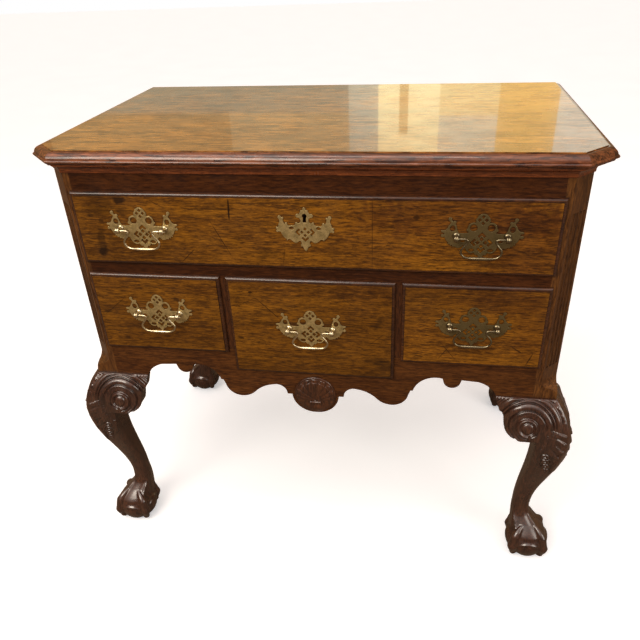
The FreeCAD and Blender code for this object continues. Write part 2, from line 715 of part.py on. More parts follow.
def runners_and_guides():
    """Inside pieces that carry and steer the drawers, by node name."""
    reach = OPENING_SIDE - RUNNER_REACH
    side_strip = (reach, OPENING_SIDE, FRAME_BACK, BACK_INNER)
    long_runner = box(*side_strip, LONG_BOTTOM - RUNNER_THICKNESS, LONG_BOTTOM)
    outer_runner = box(*side_strip, SHORT_BOTTOM - RUNNER_THICKNESS, SHORT_BOTTOM)
    inner_runner = box(DIVIDER_OUTER, DIVIDER_OUTER + RUNNER_REACH, FRAME_BACK, BACK_INNER,
                       SHORT_BOTTOM - RUNNER_THICKNESS, SHORT_BOTTOM)
    deep_runner = box(DIVIDER_INNER - RUNNER_REACH, DIVIDER_INNER, FRAME_BACK, BACK_INNER,
                      DEEP_BOTTOM - RUNNER_THICKNESS, DEEP_BOTTOM)
    guides = []
    for level in (LONG_BOTTOM, SHORT_BOTTOM):
        guides.append(box(OPENING_SIDE, PANEL_INNER, FRONT_POST_BACK, REAR_POST_FRONT,
                          level - RUNNER_THICKNESS, level + GUIDE_HEIGHT))
    partition_low = DEEP_BOTTOM - RUNNER_THICKNESS
    partition = box(DIVIDER_INNER, DIVIDER_OUTER, FRAME_BACK, BACK_INNER, partition_low,
                    partition_low + PARTITION_HEIGHT)
    kicker_inner = OPENING_SIDE - KICKER_REACH
    kicker = box(kicker_inner, PANEL_INNER, FRONT_POST_BACK, REAR_POST_FRONT, LONG_TOP, CASE_TOP)
    return {
        "upper_drawer_runners": both_sides(long_runner),
        "lower_drawer_runners": all_both_sides((outer_runner, inner_runner, deep_runner)),
        "drawer_guides": all_both_sides(guides),
        "partition_guides": both_sides(partition),
        "top_kickers": both_sides(kicker),
    }


# ------------------------------------------------------------------ drawers

def lipped_section(low, high, place):
    """Section of a drawer front across one direction: field, step, thumbnail, lip and body."""
    lip_back = FRONT - SEAT_GAP
    lip_face = lip_back - LIP_EDGE
    shelf = FIELD_FACE + LIP_STEP
    rise = lip_face - shelf

    def half(edge, sign):
        return [
            (edge, FIELD_FACE),
            (edge, shelf),
            (edge + sign * 0.71 * LIP, shelf + 0.29 * rise, edge + sign * LIP, lip_face),
            (edge + sign * LIP, lip_back),
            (edge, lip_back),
            (edge, FRONT_BOARD_BACK),
        ]

    right = half(high, 1)
    left = half(low, -1)
    back_up = [
        left[4],
        left[3],
        left[2][2:],
        left[2][:2] + left[1],
        left[0],
    ]
    return closed_face(left[0], right + [left[5]] + back_up, place)


def drawer_front_blank(x0, x1, z0, z1):
    """Drawer front with a mitred thumbnail lip all round."""
    span = REACH
    upward = Vector(0, 0, z1 - z0 + 2 * span)
    rightward = Vector(x1 - x0 + 2 * span, 0, 0)
    across = lipped_section(x0, x1, lambda x, y: Vector(x, y, z0 - span)).extrude(upward)
    upright = lipped_section(z0, z1, lambda z, y: Vector(x0 - span, y, z)).extrude(rightward)
    return across.common(upright)


def dovetails(z0, z1, x0, x1, root, end):
    """Tails across a corner joint, narrow at the root and wide at the end."""
    count = max(2, int((z1 - z0) / TAIL_PITCH))
    pitch = (z1 - z0) / count
    half = pitch * 0.30
    tails = []
    for index in range(count):
        middle = z0 + pitch * (index + 0.5)
        wide = half + TAIL_FLARE
        corners = ((root, middle + half), (end, middle + wide), (end, middle - wide), (root, middle - half))
        tail = closed_face(corners[-1], corners, in_yz(x0)).extrude(Vector(x1 - x0, 0, 0))
        tails.append(tail)
    return tails


def drawer_boards(x0, x1, z0, z1):
    """Front, sides, back and bottom of one drawer, from its body's corners."""
    front = drawer_front_blank(x0, x1, z0, z1)
    side_top = z1 - SIDE_DROP
    panel_low = z0 + BOTTOM_RISE
    panel_high = panel_low + BOTTOM_THICKNESS
    back_face = DRAWER_SIDE_END - DRAWER_BACK_THICKNESS
    tail_tip = FRONT_BOARD_BACK - TAIL_LENGTH
    groove_end = SIDE_THICKNESS - GROOVE_DEPTH
    bottom = box(x0 + groove_end, x1 - groove_end, FRONT_BOARD_BACK - GROOVE_DEPTH, DRAWER_SIDE_END,
                 panel_low, panel_high)
    back = box(x0, x1, back_face, DRAWER_SIDE_END, panel_high, side_top)
    sides = []
    for left, right in ((x0, x0 + SIDE_THICKNESS), (x1 - SIDE_THICKNESS, x1)):
        board = box(left, right, FRONT_BOARD_BACK, back_face, z0, side_top)
        heel = box(left, right, back_face, DRAWER_SIDE_END, z0, panel_high)
        front_tails = dovetails(panel_high, side_top, left, right, FRONT_BOARD_BACK, tail_tip)
        back_tails = dovetails(panel_high, side_top, left, right, back_face, DRAWER_SIDE_END)
        sides.append(board.multiFuse([heel] + front_tails + back_tails).removeSplitter().cut(bottom))
        front = front.cut(Part.makeCompound(front_tails))
        back = back.cut(Part.makeCompound(back_tails))
    return front.cut(bottom), Part.makeCompound(sides), back, bottom


# ------------------------------------------------------------------ brasses

def pull_plate_outline():
    """Right half of the back plate's outline from the top middle, in half widths from the post line."""
    return (
        (0.126, 0.556),
        (0.177, 0.451),
        (0.147, 0.352),
        (0.283, 0.345),
        (0.348, 0.232),
        (0.331, 0.147),
        (0.369, 0.096),
        (0.512, 0.061),
        (0.546, 0.191),
        (0.648, 0.263),
        (0.717, 0.362),
        (0.754, 0.447),
        (0.836, 0.444),
        (0.812, 0.311),
        (0.877, 0.198),
        (0.867, 0.123),
        (1.000, 0.106),
        (0.990, -0.038),
        (0.881, -0.075),
        (0.853, -0.171),
        (0.799, -0.259),
        (0.638, -0.338),
        (0.495, -0.341),
        (0.420, -0.283),
        (0.382, -0.389),
        (0.280, -0.461),
        (0.164, -0.454),
        (0.133, -0.515),
        (0.000, -0.621),
    )


def pierced(x, z, radius, sides, y):
    """Filed piercing with equal sides and a corner at the top."""
    corners = []
    for index in range(sides):
        turn = 2 * math.pi * index / sides
        corners.append(Vector(x + radius * math.sin(turn), y, z + radius * math.cos(turn)))
    return Part.Face(Part.makePolygon(corners + corners[:1]))


def chevrons(z, inner, outer, y, angles):
    """Slots bent round the corners of a lattice, one at each of the given angles from the right."""
    reach = outer * 0.36
    arms = (
        (outer, 0),
        (outer - reach, -reach),
        (outer - reach - (outer - inner) / 2, -reach + (outer - inner) / 2),
        (inner, 0),
        (outer - reach - (outer - inner) / 2, reach - (outer - inner) / 2),
        (outer - reach, reach),
        (outer, 0),
    )
    slots = []
    for angle in angles:
        slot = closed_face(arms[0], arms[1:], lambda u, v: Vector(u, y, z + v))
        slot.rotate(Vector(0, y, z), Vector(0, 1, 0), angle)
        slots.append(slot)
    return slots


def lattice(z, offset, half, y):
    """Four small diamonds about a middle."""
    around = ((0, 1), (1, 0), (0, -1), (-1, 0))
    return [pierced(dx * offset, z + dz * offset, half, 4, y) for dx, dz in around]


def shank_mortises(x, z):
    """Square holes for the two post shanks, through the plate and the drawer front."""
    reach = SHANK_SIZE / 2 + SHANK_CLEARANCE
    near = FIELD_FACE - PLATE_THICKNESS - 1
    holes = []
    for side in (-1, 1):
        px = x + side * POST_SPACING / 2
        holes.append(box(px - reach, px + reach, near, FRONT_BOARD_BACK + 1, z - reach, z + reach))
    return Part.makeCompound(holes)


def scaled(points, unit):
    """Outline points drawn in shares of a unit."""
    return [(x * unit, z * unit) for x, z in points]


def pull_plate(x, z):
    """Pierced back plate with its square post holes, centred on the post line at (x, z)."""
    y = FIELD_FACE - PLATE_THICKNESS
    unit = PLATE_HALF
    middle = -0.164 * unit
    holes = lattice(middle, 0.089 * unit, 0.046 * unit, y)
    holes += chevrons(middle, 0.195 * unit, 0.273 * unit, y, (0, 90, 180, 270))
    for side in (-unit, unit):
        holes.append(pierced(side * 0.218, 0.222 * unit, 0.082 * unit, 6, y))
        holes.append(pierced(side * 0.741, 0.164 * unit, 0.065 * unit, 4, y))
        holes.append(pierced(side * 0.464, -0.160 * unit, 0.065 * unit, 4, y))
    outline = mirrored_face((0, 0.601 * unit), scaled(pull_plate_outline(), unit), in_xz(y))
    plate = outline.cut(Part.makeCompound(holes)).extrude(Vector(0, PLATE_THICKNESS, 0))
    plate.translate(Vector(x, 0, z))
    return plate.cut(shank_mortises(x, z))


def escutcheon_outline():
    """Right half of the escutcheon's outline from the top, in half widths from the keyhole's middle."""
    return (
        (0.076, 0.290),
        (0.147, 0.232),
        (0.277, 0.165),
        (0.281, 0.036),
        (0.192, 0.004),
        (0.161, -0.112),
        (0.210, -0.214),
        (0.357, -0.304),
        (0.549, -0.304),
        (0.665, -0.192),
        (0.763, 0.018),
        (0.879, 0.018),
        (0.915, -0.080),
        (0.844, -0.192),
        (1.000, -0.308),
        (0.991, -0.415),
        (0.866, -0.433),
        (0.812, -0.567),
        (0.674, -0.723),
        (0.656, -0.786),
        (0.469, -0.839),
        (0.219, -0.879),
        (0.143, -0.969),
        (0.103, -1.094),
        (0.000, -1.272),
    )


def keyhole(y, depth):
    """Solid of the keyhole's shape, along Y."""
    barrel = Part.makeCylinder(KEYHOLE_RADIUS, depth, Vector(0, y, KEYHOLE_HEIGHT), Vector(0, 1, 0))
    slot = box(-KEYHOLE_SLOT, KEYHOLE_SLOT, y, y + depth, KEYHOLE_HEIGHT - KEYHOLE_DROP, KEYHOLE_HEIGHT)
    return barrel.fuse(slot)


def escutcheon():
    """Pierced plate round the keyhole of the long drawer."""
    y = FIELD_FACE - PLATE_THICKNESS
    unit = ESCUTCHEON_HALF
    middle = -0.536 * unit
    holes = lattice(middle, 0.112 * unit, 0.047 * unit, y)
    holes += chevrons(middle, 0.228 * unit, 0.317 * unit, y, (0, 90, 180))
    holes += [pierced(side * 0.536, -0.424 * unit, 0.071 * unit, 4, y) for side in (-unit, unit)]
    outline = mirrored_face((0, 0.339 * unit), scaled(escutcheon_outline(), unit), in_xz(y))
    plate = outline.cut(Part.makeCompound(holes)).extrude(Vector(0, PLATE_THICKNESS, 0))
    plate.translate(Vector(0, 0, KEYHOLE_HEIGHT))
    return plate.cut(keyhole(y, PLATE_THICKNESS))


def pull_posts(x, z):
    """Two posts with an eye for the bail; their square shanks run through the plate and the drawer front."""
    plate_face = FIELD_FACE - PLATE_THICKNESS
    right = Vector(1, 0, 0)
    up = Vector(0, 0, 1)
    stem = (
        (0, COLLAR_RADIUS),
        (COLLAR_THICKNESS, NECK_RADIUS),
        (EYE_STANDOFF, NECK_RADIUS),
    )
    posts = []
    for side in (-1, 1):
        px = x + side * POST_SPACING / 2
        rings = [ring(Vector(px, plate_face - out, z), right, up, radius, POST_SIDES) for out, radius in stem]
        half = SHANK_SIZE / 2
        shank = box(px - half, px + half, plate_face, FRONT_BOARD_BACK + SHANK_END, z - half, z + half)
        eye = Vector(px, EYE_Y, z)
        cheek = Vector(EYE_WIDTH / 2, 0, 0)
        ends = [ring(eye + cheek * end, Vector(0, 1, 0), up, KNOB_RADIUS, POST_SIDES) for end in (-1, 1)]
        knob = flat_sided(ends)
        hole = Part.makeCylinder(BAIL_RADIUS + BAIL_CLEARANCE, EYE_WIDTH, eye - cheek, right)
        posts.append(flat_sided(rings).multiFuse([shank, knob]).cut(hole))
    return Part.makeCompound(posts)


def bail(x, z):
    """Drop handle hanging straight down: round pins turn in to the posts, and the bar swells at the grip."""
    pin_end = POST_SPACING / 2 + PIN_END
    path = (
        (BAIL_MOUTH + 1.4, 0),
        (BAIL_MOUTH, -3.2),
        (BAIL_WIDEST, -0.56 * BAIL_DROP),
        (BAIL_WIDEST, -0.76 * BAIL_DROP),
        (BAIL_WIDEST - 5.6, -BAIL_DROP),
    )
    points = [Vector(pin_end, EYE_Y, 0)] + [Vector(px, EYE_Y, pz) for px, pz in path]
    back = Vector(0, 1, 0)
    rings = [ring(Vector(BAIL_MOUTH + 3, EYE_Y, 0), back, Vector(0, 0, -1), BAIL_RADIUS, BAIL_SIDES)]
    for before, here, after in zip(points, points[1:], points[2:] + [Vector(0, EYE_Y, -BAIL_DROP)]):
        arriving = (here - before).normalize()
        leaving = (after - here).normalize()
        mitre = (arriving + leaving).normalize()
        across = mitre.cross(back) * (1 / mitre.dot(arriving))
        rings.append(ring(here, back, across, BAIL_RADIUS, BAIL_SIDES))
    for place, radius in ((BAIL_GRIP_HALF, BAIL_RADIUS), (0, BAIL_GRIP_RADIUS)):
        rings.append(ring(Vector(place, EYE_Y, -BAIL_DROP), back, Vector(0, 0, -1), radius, BAIL_SIDES))
    half = flat_sided(rings)
    pin = Part.makeCylinder(BAIL_RADIUS, pin_end - BAIL_MOUTH - 1.4, points[1], Vector(1, 0, 0))
    half = half.fuse(pin)
    handle = half.fuse(flip_x(half)).removeSplitter()
    handle.translate(Vector(x, 0, z))
    return handle


# ------------------------------------------------------------------ lock

LOCK_FRONT = FRONT_BOARD_BACK - LOCK_THICKNESS
BOLT_FRONT = LOCK_FRONT + (LOCK_THICKNESS - BOLT_THICKNESS) / 2
LOCK_TOP = LONG_TOP - HEAD_GAP


def lock_space():
    """Block that the lock fills in the back of the long front."""
    half = LOCK_WIDTH / 2
    return box(-half, half, LOCK_FRONT, FRONT_BOARD_BACK, LOCK_TOP - LOCK_HEIGHT, LOCK_TOP)


def lock_bolt():
    """Sliding bolt at rest, its top just under the top of the lock."""
    top = LOCK_TOP - BOLT_CLEARANCE
    half = BOLT_WIDTH / 2
    return box(-half, half, BOLT_FRONT, BOLT_FRONT + BOLT_THICKNESS, top - BOLT_LENGTH, top)


def lock_case():
    """Drawer lock let into the back of the long front, with the channel that the bolt slides in."""
    gap = BOLT_CLEARANCE
    half = BOLT_WIDTH / 2 + gap
    bolt_back = BOLT_FRONT + BOLT_THICKNESS
    foot = LOCK_TOP - BOLT_LENGTH - 2 * gap
    channel = box(-half, half, BOLT_FRONT - gap, bolt_back + gap, foot, LOCK_TOP)
    return lock_space().cut(channel).cut(keyhole(LOCK_FRONT, LOCK_THICKNESS / 2))


# ------------------------------------------------------------------ assembly

def build_case():
    """Nodes of the fixed case."""
    front_coves, side_coves = coves()
    front_leg, rear_leg = right_legs()
    bracket = knee_bracket(front_leg)
    brackets = Part.makeCompound([bracket, turned_to_side(bracket).cut(front_leg)])
    divider = box(DIVIDER_INNER, DIVIDER_OUTER, FRONT, FRAME_BACK, SHORT_BOTTOM, LOWER_TOP)
    nodes = {
        "top_board": top_board(),
        "cove_moulding_front": front_coves,
        "cove_moulding_sides": side_coves,
        "side_panel_right": side_panel(),
        "side_panel_left": flip_x(side_panel()),
        "back_board": back_board(),
        "top_rail": top_rail(),
        "middle_rail": box(-OPENING_SIDE, OPENING_SIDE, FRONT, FRAME_BACK, LOWER_TOP, LONG_BOTTOM),
        "drawer_dividers": both_sides(divider),
        "front_apron": front_apron(),
        "apron_shell": apron_shell(),
        "leg_front_right": front_leg,
        "leg_front_left": flip_x(front_leg),
        "leg_rear_right": rear_leg,
        "leg_rear_left": flip_x(rear_leg),
        "knee_brackets_front_right": brackets,
        "knee_brackets_front_left": flip_x(brackets),
        "knee_brackets_rear": both_sides(flip_y(turned_to_side(bracket)).cut(rear_leg)),
    }
    nodes.update(runners_and_guides())
    return nodes


def build_drawer(name, x0, x1, z0, z1, pulls):
    """Nodes of one drawer in its opening, with its brasses."""
    body = (x0 + SIDE_GAP, x1 - SIDE_GAP, z0 + SEAT_GAP, z1 - HEAD_GAP)
    front, sides, back, bottom = drawer_boards(*body)
    nodes = {}
    pull_z = (body[2] + body[3]) / 2 + PULL_RISE
    for pull_x in pulls:
        front = front.cut(shank_mortises(pull_x, pull_z))
        pull = pull_name(name, pull_x)
        nodes[pull + "_plate"] = pull_plate(pull_x, pull_z)
        nodes[pull + "_posts"] = pull_posts(pull_x, pull_z)
        nodes[pull + "_bail"] = bail(pull_x, pull_z)
    if name == "top_drawer":
        front = front.cut(lock_space()).cut(keyhole(FIELD_FACE, LOCK_FRONT - FIELD_FACE))
        nodes["escutcheon"] = escutcheon()
        nodes["lock_case"] = lock_case()
        nodes["lock_bolt"] = lock_bolt()
    nodes[name + "_front"] = front
    nodes[name + "_sides"] = sides
    nodes[name + "_back"] = back
    nodes[name + "_bottom"] = bottom
    return nodes


def pull_name(drawer, x):
    """Name of a pull; the long drawer has one at each end."""
    if drawer != "top_drawer":
        return drawer.replace("drawer", "pull")
    return "top_pull_right" if x > 0 else "top_pull_left"


def build():
    """Every node of the lowboy."""
    nodes = build_case()
    for drawer in DRAWERS:
        nodes.update(build_drawer(*drawer))
    return nodes


os.makedirs("parts", exist_ok=True)
for node_name, node_shape in build().items():
    export(node_name, node_shape)
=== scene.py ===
"""Lowboy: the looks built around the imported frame. Metres, in the frame's own axes."""

import json
import math

import bmesh
import bpy
import numpy as np
from mathutils import Euler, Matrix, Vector

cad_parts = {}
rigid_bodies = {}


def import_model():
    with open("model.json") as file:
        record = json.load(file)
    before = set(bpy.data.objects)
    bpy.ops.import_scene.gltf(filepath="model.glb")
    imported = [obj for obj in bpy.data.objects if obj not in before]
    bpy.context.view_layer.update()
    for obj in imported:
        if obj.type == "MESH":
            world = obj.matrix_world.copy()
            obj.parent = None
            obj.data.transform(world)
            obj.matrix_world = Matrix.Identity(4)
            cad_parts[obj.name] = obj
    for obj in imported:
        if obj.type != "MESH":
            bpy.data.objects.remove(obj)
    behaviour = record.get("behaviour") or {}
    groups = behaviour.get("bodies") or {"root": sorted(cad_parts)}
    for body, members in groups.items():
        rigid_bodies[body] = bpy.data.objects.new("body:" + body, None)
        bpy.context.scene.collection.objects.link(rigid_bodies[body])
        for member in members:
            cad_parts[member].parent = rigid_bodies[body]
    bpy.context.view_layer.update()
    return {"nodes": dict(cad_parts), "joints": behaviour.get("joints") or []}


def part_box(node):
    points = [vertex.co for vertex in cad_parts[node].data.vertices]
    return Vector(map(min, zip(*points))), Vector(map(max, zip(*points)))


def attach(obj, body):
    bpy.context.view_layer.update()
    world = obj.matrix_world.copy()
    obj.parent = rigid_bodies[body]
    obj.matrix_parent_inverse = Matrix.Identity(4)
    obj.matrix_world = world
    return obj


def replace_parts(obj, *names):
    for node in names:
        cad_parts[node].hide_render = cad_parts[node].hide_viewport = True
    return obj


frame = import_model()
NODES = frame["nodes"]
SCENE = bpy.context.scene
MM = 0.001    # a millimetre; shapes are drawn in millimetres and kept in metres


def in_mm(place):
    """A place on the frame, in millimetres."""
    return [round(value / MM, 2) for value in place]


# ---------- places on the CAD, in millimetres

SIDE = 410    # outer faces of the case's sides, from its middle
FRONT = in_mm(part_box("top_rail")[0])[1]
DRAWER_FACE = in_mm(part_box("top_drawer_front")[0])[1]
TOP = in_mm(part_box("top_board")[1])[2]
BLOCK = in_mm(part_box("knee_brackets_rear")[1])[2]    # where the square corner posts end and the knees begin
PLATE_FACE = in_mm(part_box("escutcheon")[0])[1]
SHANK_END = in_mm(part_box("left_pull_posts")[1])[1]
# Each pull's name, the middle of the line through its handle's pins, and the drawer it is on
PULLS = [(joint["child"].removesuffix("_bail"), in_mm(joint["pos_m"]), joint["parent"])
         for joint in frame["joints"] if joint["type"] == "hinge"]


# ---------- camera and light

def make_camera():
    """The photograph's angle, fitted to the case's corners in 640 pixels."""
    frame_px = 640
    focal_px = 626.31
    centre_px = (323.29, 325.31)
    data = bpy.data.cameras.new("camera")
    data.sensor_width = 36
    data.lens = focal_px * data.sensor_width / frame_px
    data.shift_x = (frame_px / 2 - centre_px[0]) / frame_px
    data.shift_y = (centre_px[1] - frame_px / 2) / frame_px
    data.clip_start = 0.05
    data.clip_end = 60
    camera = bpy.data.objects.new("camera", data)
    camera.location = (0.17749, -1.11724, 1.03251)
    camera.rotation_euler = Euler([math.radians(a) for a in (58.9594, 2.2409, 8.7954)], "XYZ")
    SCENE.collection.objects.link(camera)
    SCENE.camera = camera


def area_light(name, place, target, size, power, colour):
    """Rectangular light that faces a point and is hidden from the camera."""
    data = bpy.data.lights.new(name, "AREA")
    data.shape = "RECTANGLE"
    data.size, data.size_y = size
    data.energy = power
    data.color = colour
    light = bpy.data.objects.new(name, data)
    light.location = place
    light.rotation_euler = (Vector(target) - Vector(place)).to_track_quat("-Z", "Y").to_euler()
    light.visible_camera = False
    SCENE.collection.objects.link(light)


PANELS_BEHIND = 2.6    # metres from the middle of the case to the row of panels
PANEL_POWER = 10.3    # watts from a square metre at strength 1
# Left, right, low and high edge, strength, colour
PANELS = (
    (-2.2, -0.28, 0.9, 1.36, 0.075, (0.7, 1, 0.9)),
    (-2.2, -1, 1.36, 1.9, 0.07, (1, 0.72, 0.3)),
    (-1, -0.28, 1.36, 1.9, 0.115, (1, 0.82, 0.45)),
    (-0.28, -0.11, 0.9, 1.9, 0.17, (0.85, 1, 0.85)),
    (-0.11, 0.01, 0.9, 1.9, 0.42, (1, 0.88, 0.5)),
    (0.01, 0.06, 0.9, 1.48, 0.23, (1, 0.68, 0.27)),
    (0.01, 0.06, 1.48, 1.9, 0.41, (1, 0.88, 0.5)),
    (0.06, 0.235, 0.9, 1.9, 0.42, (1, 0.88, 0.5)),
    (0.235, 0.56, 0.9, 1.38, 0.34, (1, 0.8, 0.38)),
    (0.235, 0.56, 1.38, 1.9, 0.26, (0.97, 0.97, 0.76)),
    (0.56, 0.88, 0.9, 1.9, 0.29, (1, 0.65, 0.2)),
    (0.88, 1.3, 0.9, 1.9, 0.28, (0.95, 1, 0.88)),
)


def make_light():
    """Soft light from both sides, and tall panels behind that the polished top mirrors."""
    area_light("key", (-1, -2.1, 2.2), (0, 0, 0.4), (1.5, 1.1), 41, (1, 0.9, 0.77))
    area_light("fill", (2.1, -1.5, 1.3), (0, 0, 0.3), (1.2, 1.2), 17, (1, 0.93, 0.84))
    area_light("overhead", (-0.25, -0.55, 2.4), (-0.25, -0.3, 0), (1.3, 0.3), 6, (1, 0.92, 0.84))
    for index, (left, right, low, high, strength, colour) in enumerate(PANELS):
        x, z = (left + right) / 2, (low + high) / 2
        wide, tall = right - left, high - low
        area_light("panel_%d" % index, (x, PANELS_BEHIND, z), (x, 0, z), (wide, tall),
                   PANEL_POWER * strength * wide * tall, colour)
    sun = bpy.data.lights.new("sky", "SUN")
    sun.energy = 0.75
    sun.angle = math.radians(70)
    sun.color = (1, 0.95, 0.88)
    sky = bpy.data.objects.new("sky", sun)
    sky.rotation_euler = (math.radians(20), math.radians(-12), 0)
    SCENE.collection.objects.link(sky)


# ---------- materials

class Recipe:
    """The nodes of a material or of the world, written as short calls."""

    def __init__(self, owner):
        owner.use_nodes = True
        self.owner = owner
        self.nodes, self.links = owner.node_tree.nodes, owner.node_tree.links
        self.shader = self.nodes.get("Principled BSDF")

    def node(self, kind, sockets=(), **settings):
        """New node with its settings, and values or links for its sockets."""
        made = self.nodes.new("ShaderNode" + kind)
        for key, value in settings.items():
            setattr(made, key, value)
        for key, value in dict(sockets).items():
            self.put(made.inputs[key], value)
        return made

    def put(self, socket, value):
        """Link an output to a socket or set its value; a colour comes without its alpha."""
        if isinstance(value, bpy.types.NodeSocket):
            self.links.new(value, socket)
        else:
            socket.default_value = (*value, 1) if socket.type == "RGBA" else value

    def coordinate(self, letter, space="Object"):
        """X, Y or Z of the place in metres, or of the direction in the world."""
        return self.node("SeparateXYZ", {0: self.node("TexCoord").outputs[space]}).outputs[letter]

    def place(self, scale=(1, 1, 1), turn=(0, 0, 0), shift=(0, 0, 0), **settings):
        """Object coordinates, turned by degrees and stretched."""
        source = self.node("TexCoord").outputs["Object"]
        rotation = [math.radians(a) for a in turn]
        sockets = {"Vector": source, "Location": shift, "Rotation": rotation, "Scale": scale}
        return self.node("Mapping", sockets, **settings).outputs["Vector"]

    def noise(self, vector, detail=3, rough=0.5, bend=0):
        return self.node("TexNoise", {"Vector": vector, "Scale": 1, "Detail": detail, "Roughness": rough,
                                      "Distortion": bend}).outputs["Fac"]

    def span(self, value, low, high, to_low=0, to_high=1):
        """Value carried from one range to another and clamped."""
        return self.node("MapRange", {"Value": value, "From Min": low, "From Max": high, "To Min": to_low,
                                      "To Max": to_high}, clamp=True).outputs["Result"]

    def maths(self, kind, first, second):
        return self.node("Math", {0: first, 1: second}, operation=kind).outputs[0]

    def blend(self, share, first, second, kind="MIX"):
        """Colour between two colours, or the first tinted by the second."""
        mix = self.node("Mix", {"Factor": share}, data_type="RGBA", blend_type=kind)
        colours = [socket for socket in mix.inputs if socket.type == "RGBA"]
        for socket, value in zip(colours, (first, second)):
            self.put(socket, value)
        return [socket for socket in mix.outputs if socket.type == "RGBA"][0]

    def cover(self, colour, share, strength, tint, kind="MIX"):
        """Colour covered with a tint as far as a share of the strength."""
        return self.blend(self.maths("MULTIPLY", share, strength), colour, tint, kind)

    def crevice_shade(self, distance):
        """Painted shade from ambient occlusion: 1 in the open, falling towards 0 in narrow hollows."""
        return self.node("AmbientOcclusion", {"Distance": distance}, samples=6).outputs["AO"]

    def bump(self, height, depth, strength):
        made = self.node("Bump", {"Strength": strength, "Distance": depth, "Height": height})
        self.put(self.shader.inputs["Normal"], made.outputs["Normal"])

    def shown_or_met(self, shown, met):
        """One shader for what the camera sees, another for what light and reflections meet."""
        seen = self.node("LightPath").outputs["Is Camera Ray"]
        return self.node("MixShader", {0: seen, 1: met, 2: shown}).outputs[0]

    def finish(self, colour, rough, coat=0, coat_rough=0.05, specular=0.5, metallic=0):
        values = {"Base Color": colour, "Roughness": rough, "Metallic": metallic, "Coat Weight": coat,
                  "Coat Roughness": coat_rough, "Specular IOR Level": specular}
        for name, value in values.items():
            self.put(self.shader.inputs[name], value)
        return self.owner


def dimmed(colour, share):
    return [part * share for part in colour]


def marked(r, colour, places, tint, kind="MIX"):
    """Colour with a ragged patch of tint at each place on the front."""
    ragged = r.maths("MULTIPLY", r.maths("SUBTRACT", r.noise(r.place((90, 90, 90))), 0.5), 1.6)
    for x, z, half, thick, turn, strength in places:
        centred = r.place((half * MM, 1000, thick * MM), (0, -turn, 0), (x * MM, 0, z * MM),
                          vector_type="TEXTURE")
        reach = r.node("VectorMath", {0: centred}, operation="LENGTH").outputs["Value"]
        colour = r.cover(colour, r.span(r.maths("ADD", reach, ragged), 1.25, 0.75), strength, tint, kind)
    return colour


def scratched(r, colour, strength, tint):
    """Colour with patches of fine parallel scratches in three directions."""
    scratch = 0
    for number, (turn, cut) in enumerate(((38, 0.7), (-52, 0.715), (78, 0.72))):
        line = r.noise(r.place((5, 5, 520), (0, turn, 0), (number * 2.3, 0, number)), detail=1)
        patch = r.noise(r.place((9, 9, 9), shift=(number * 5.1, 2, 1)), detail=1)
        one = r.maths("MULTIPLY", r.span(line, cut, cut + 0.02), r.span(patch, 0.52, 0.6))
        scratch = r.maths("MAXIMUM", scratch, one)
    return r.cover(colour, scratch, strength, tint)


def wood(name, light, middle, dark, axis, shift=(0, 0, 0), gloss=0.34, coat=0.4, coat_rough=0.16,
         specular=0.5, wear=0.4, stains=0.4, streak=1, coarse=1, relief=1, crevice_shade_reach=0, marks=(),
         shade_patches=(), shaded_lip=None):
    """Polished wood: figure, grain, flecks, pores, stains, marks of use and fine scratches, with painted
    shade in crevices, in patches and on a moulded lip where given.
    """
    r = Recipe(bpy.data.materials.new(name))

    def grain(across, lengthwise, **settings):
        """Noise drawn out along the grain."""
        scale = tuple(lengthwise if letter == axis else across for letter in "XYZ")
        return r.noise(r.place(scale, shift=shift), **settings)

    wander = grain(5, 1.6, detail=2)
    broad = grain(22 * coarse, 5, detail=4, rough=0.6, bend=1.1)
    bands = grain(110 * coarse, 8, detail=5, rough=0.62, bend=0.5)
    fleck = grain(420 * coarse, 60 * coarse, detail=4, rough=0.7, bend=0.3)
    fine = grain(620, 22, rough=0.6)
    pores = grain(1500, 60, detail=1)
    colour = r.blend(r.span(broad, 0.38, 0.62), middle, light)
    for share, strength, tint in (
            (r.span(bands, 0.47, 0.7), 0.75 * streak, dark),
            (r.span(fleck, 0.51, 0.6), 0.8 * streak, dark),
            (r.span(fleck, 0.46, 0.36), 0.55 * streak, dimmed(light, 1.6)),
            (r.span(fine, 0.52, 0.7), 0.45 * streak, dark),
            (r.span(pores, 0.6, 0.7), 0.45, dimmed(dark, 0.35)),
            (r.span(wander, 0.35, 0.62, 1, 0), 0.45, dark)):
        colour = r.cover(colour, share, strength, tint)
    blot = r.noise(r.place((11, 11, 11), shift=(3.1, 0.4, 7.7)), rough=0.6, bend=0.4)
    colour = r.cover(colour, r.span(blot, 0.645, 0.72), 0.55 * stains, dimmed(dark, 0.42))
    if marks:
        # Painted shade: patches of the fronts darkened by multiplying with their tint
        colour = marked(r, colour, shade_patches, SHADE_PATCH_TINT, "MULTIPLY")
        colour = marked(r, colour, marks, dimmed(dark, 0.3))
    if wear:
        colour = scratched(r, colour, 0.6 * wear, dimmed(dark, 0.3))
    # Painted shade: the colour darkens towards the dark shade in crevices and gaps, by ambient occlusion over
    # this reach
    if crevice_shade_reach:
        colour = r.blend(r.span(r.crevice_shade(crevice_shade_reach), 0.25, 0.85, 0.9, 0), colour, dimmed(dark, 0.22))
    rough = r.span(r.noise(r.place((26, 26, 26)), detail=4), 0.35, 0.7, gloss - 0.05, gloss + 0.12)
    height = r.maths("ADD", r.maths("MULTIPLY", fine, 0.5), r.maths("MULTIPLY", pores, 0.5))
    r.bump(height, 0.00012 * relief, 0.6)
    # Painted shade: the moulded lip behind the face darkens by multiplying with its tint, and takes its own
    # coat
    if shaded_lip:
        letter, low, high, tint, shine = shaded_lip
        edge = r.span(r.coordinate(letter), low * MM, high * MM)
        colour = r.blend(edge, colour, tint, "MULTIPLY")
        coat = r.span(edge, 0, 1, coat, shine)
    return r.finish(colour, rough, coat=coat, coat_rough=coat_rough, specular=specular)


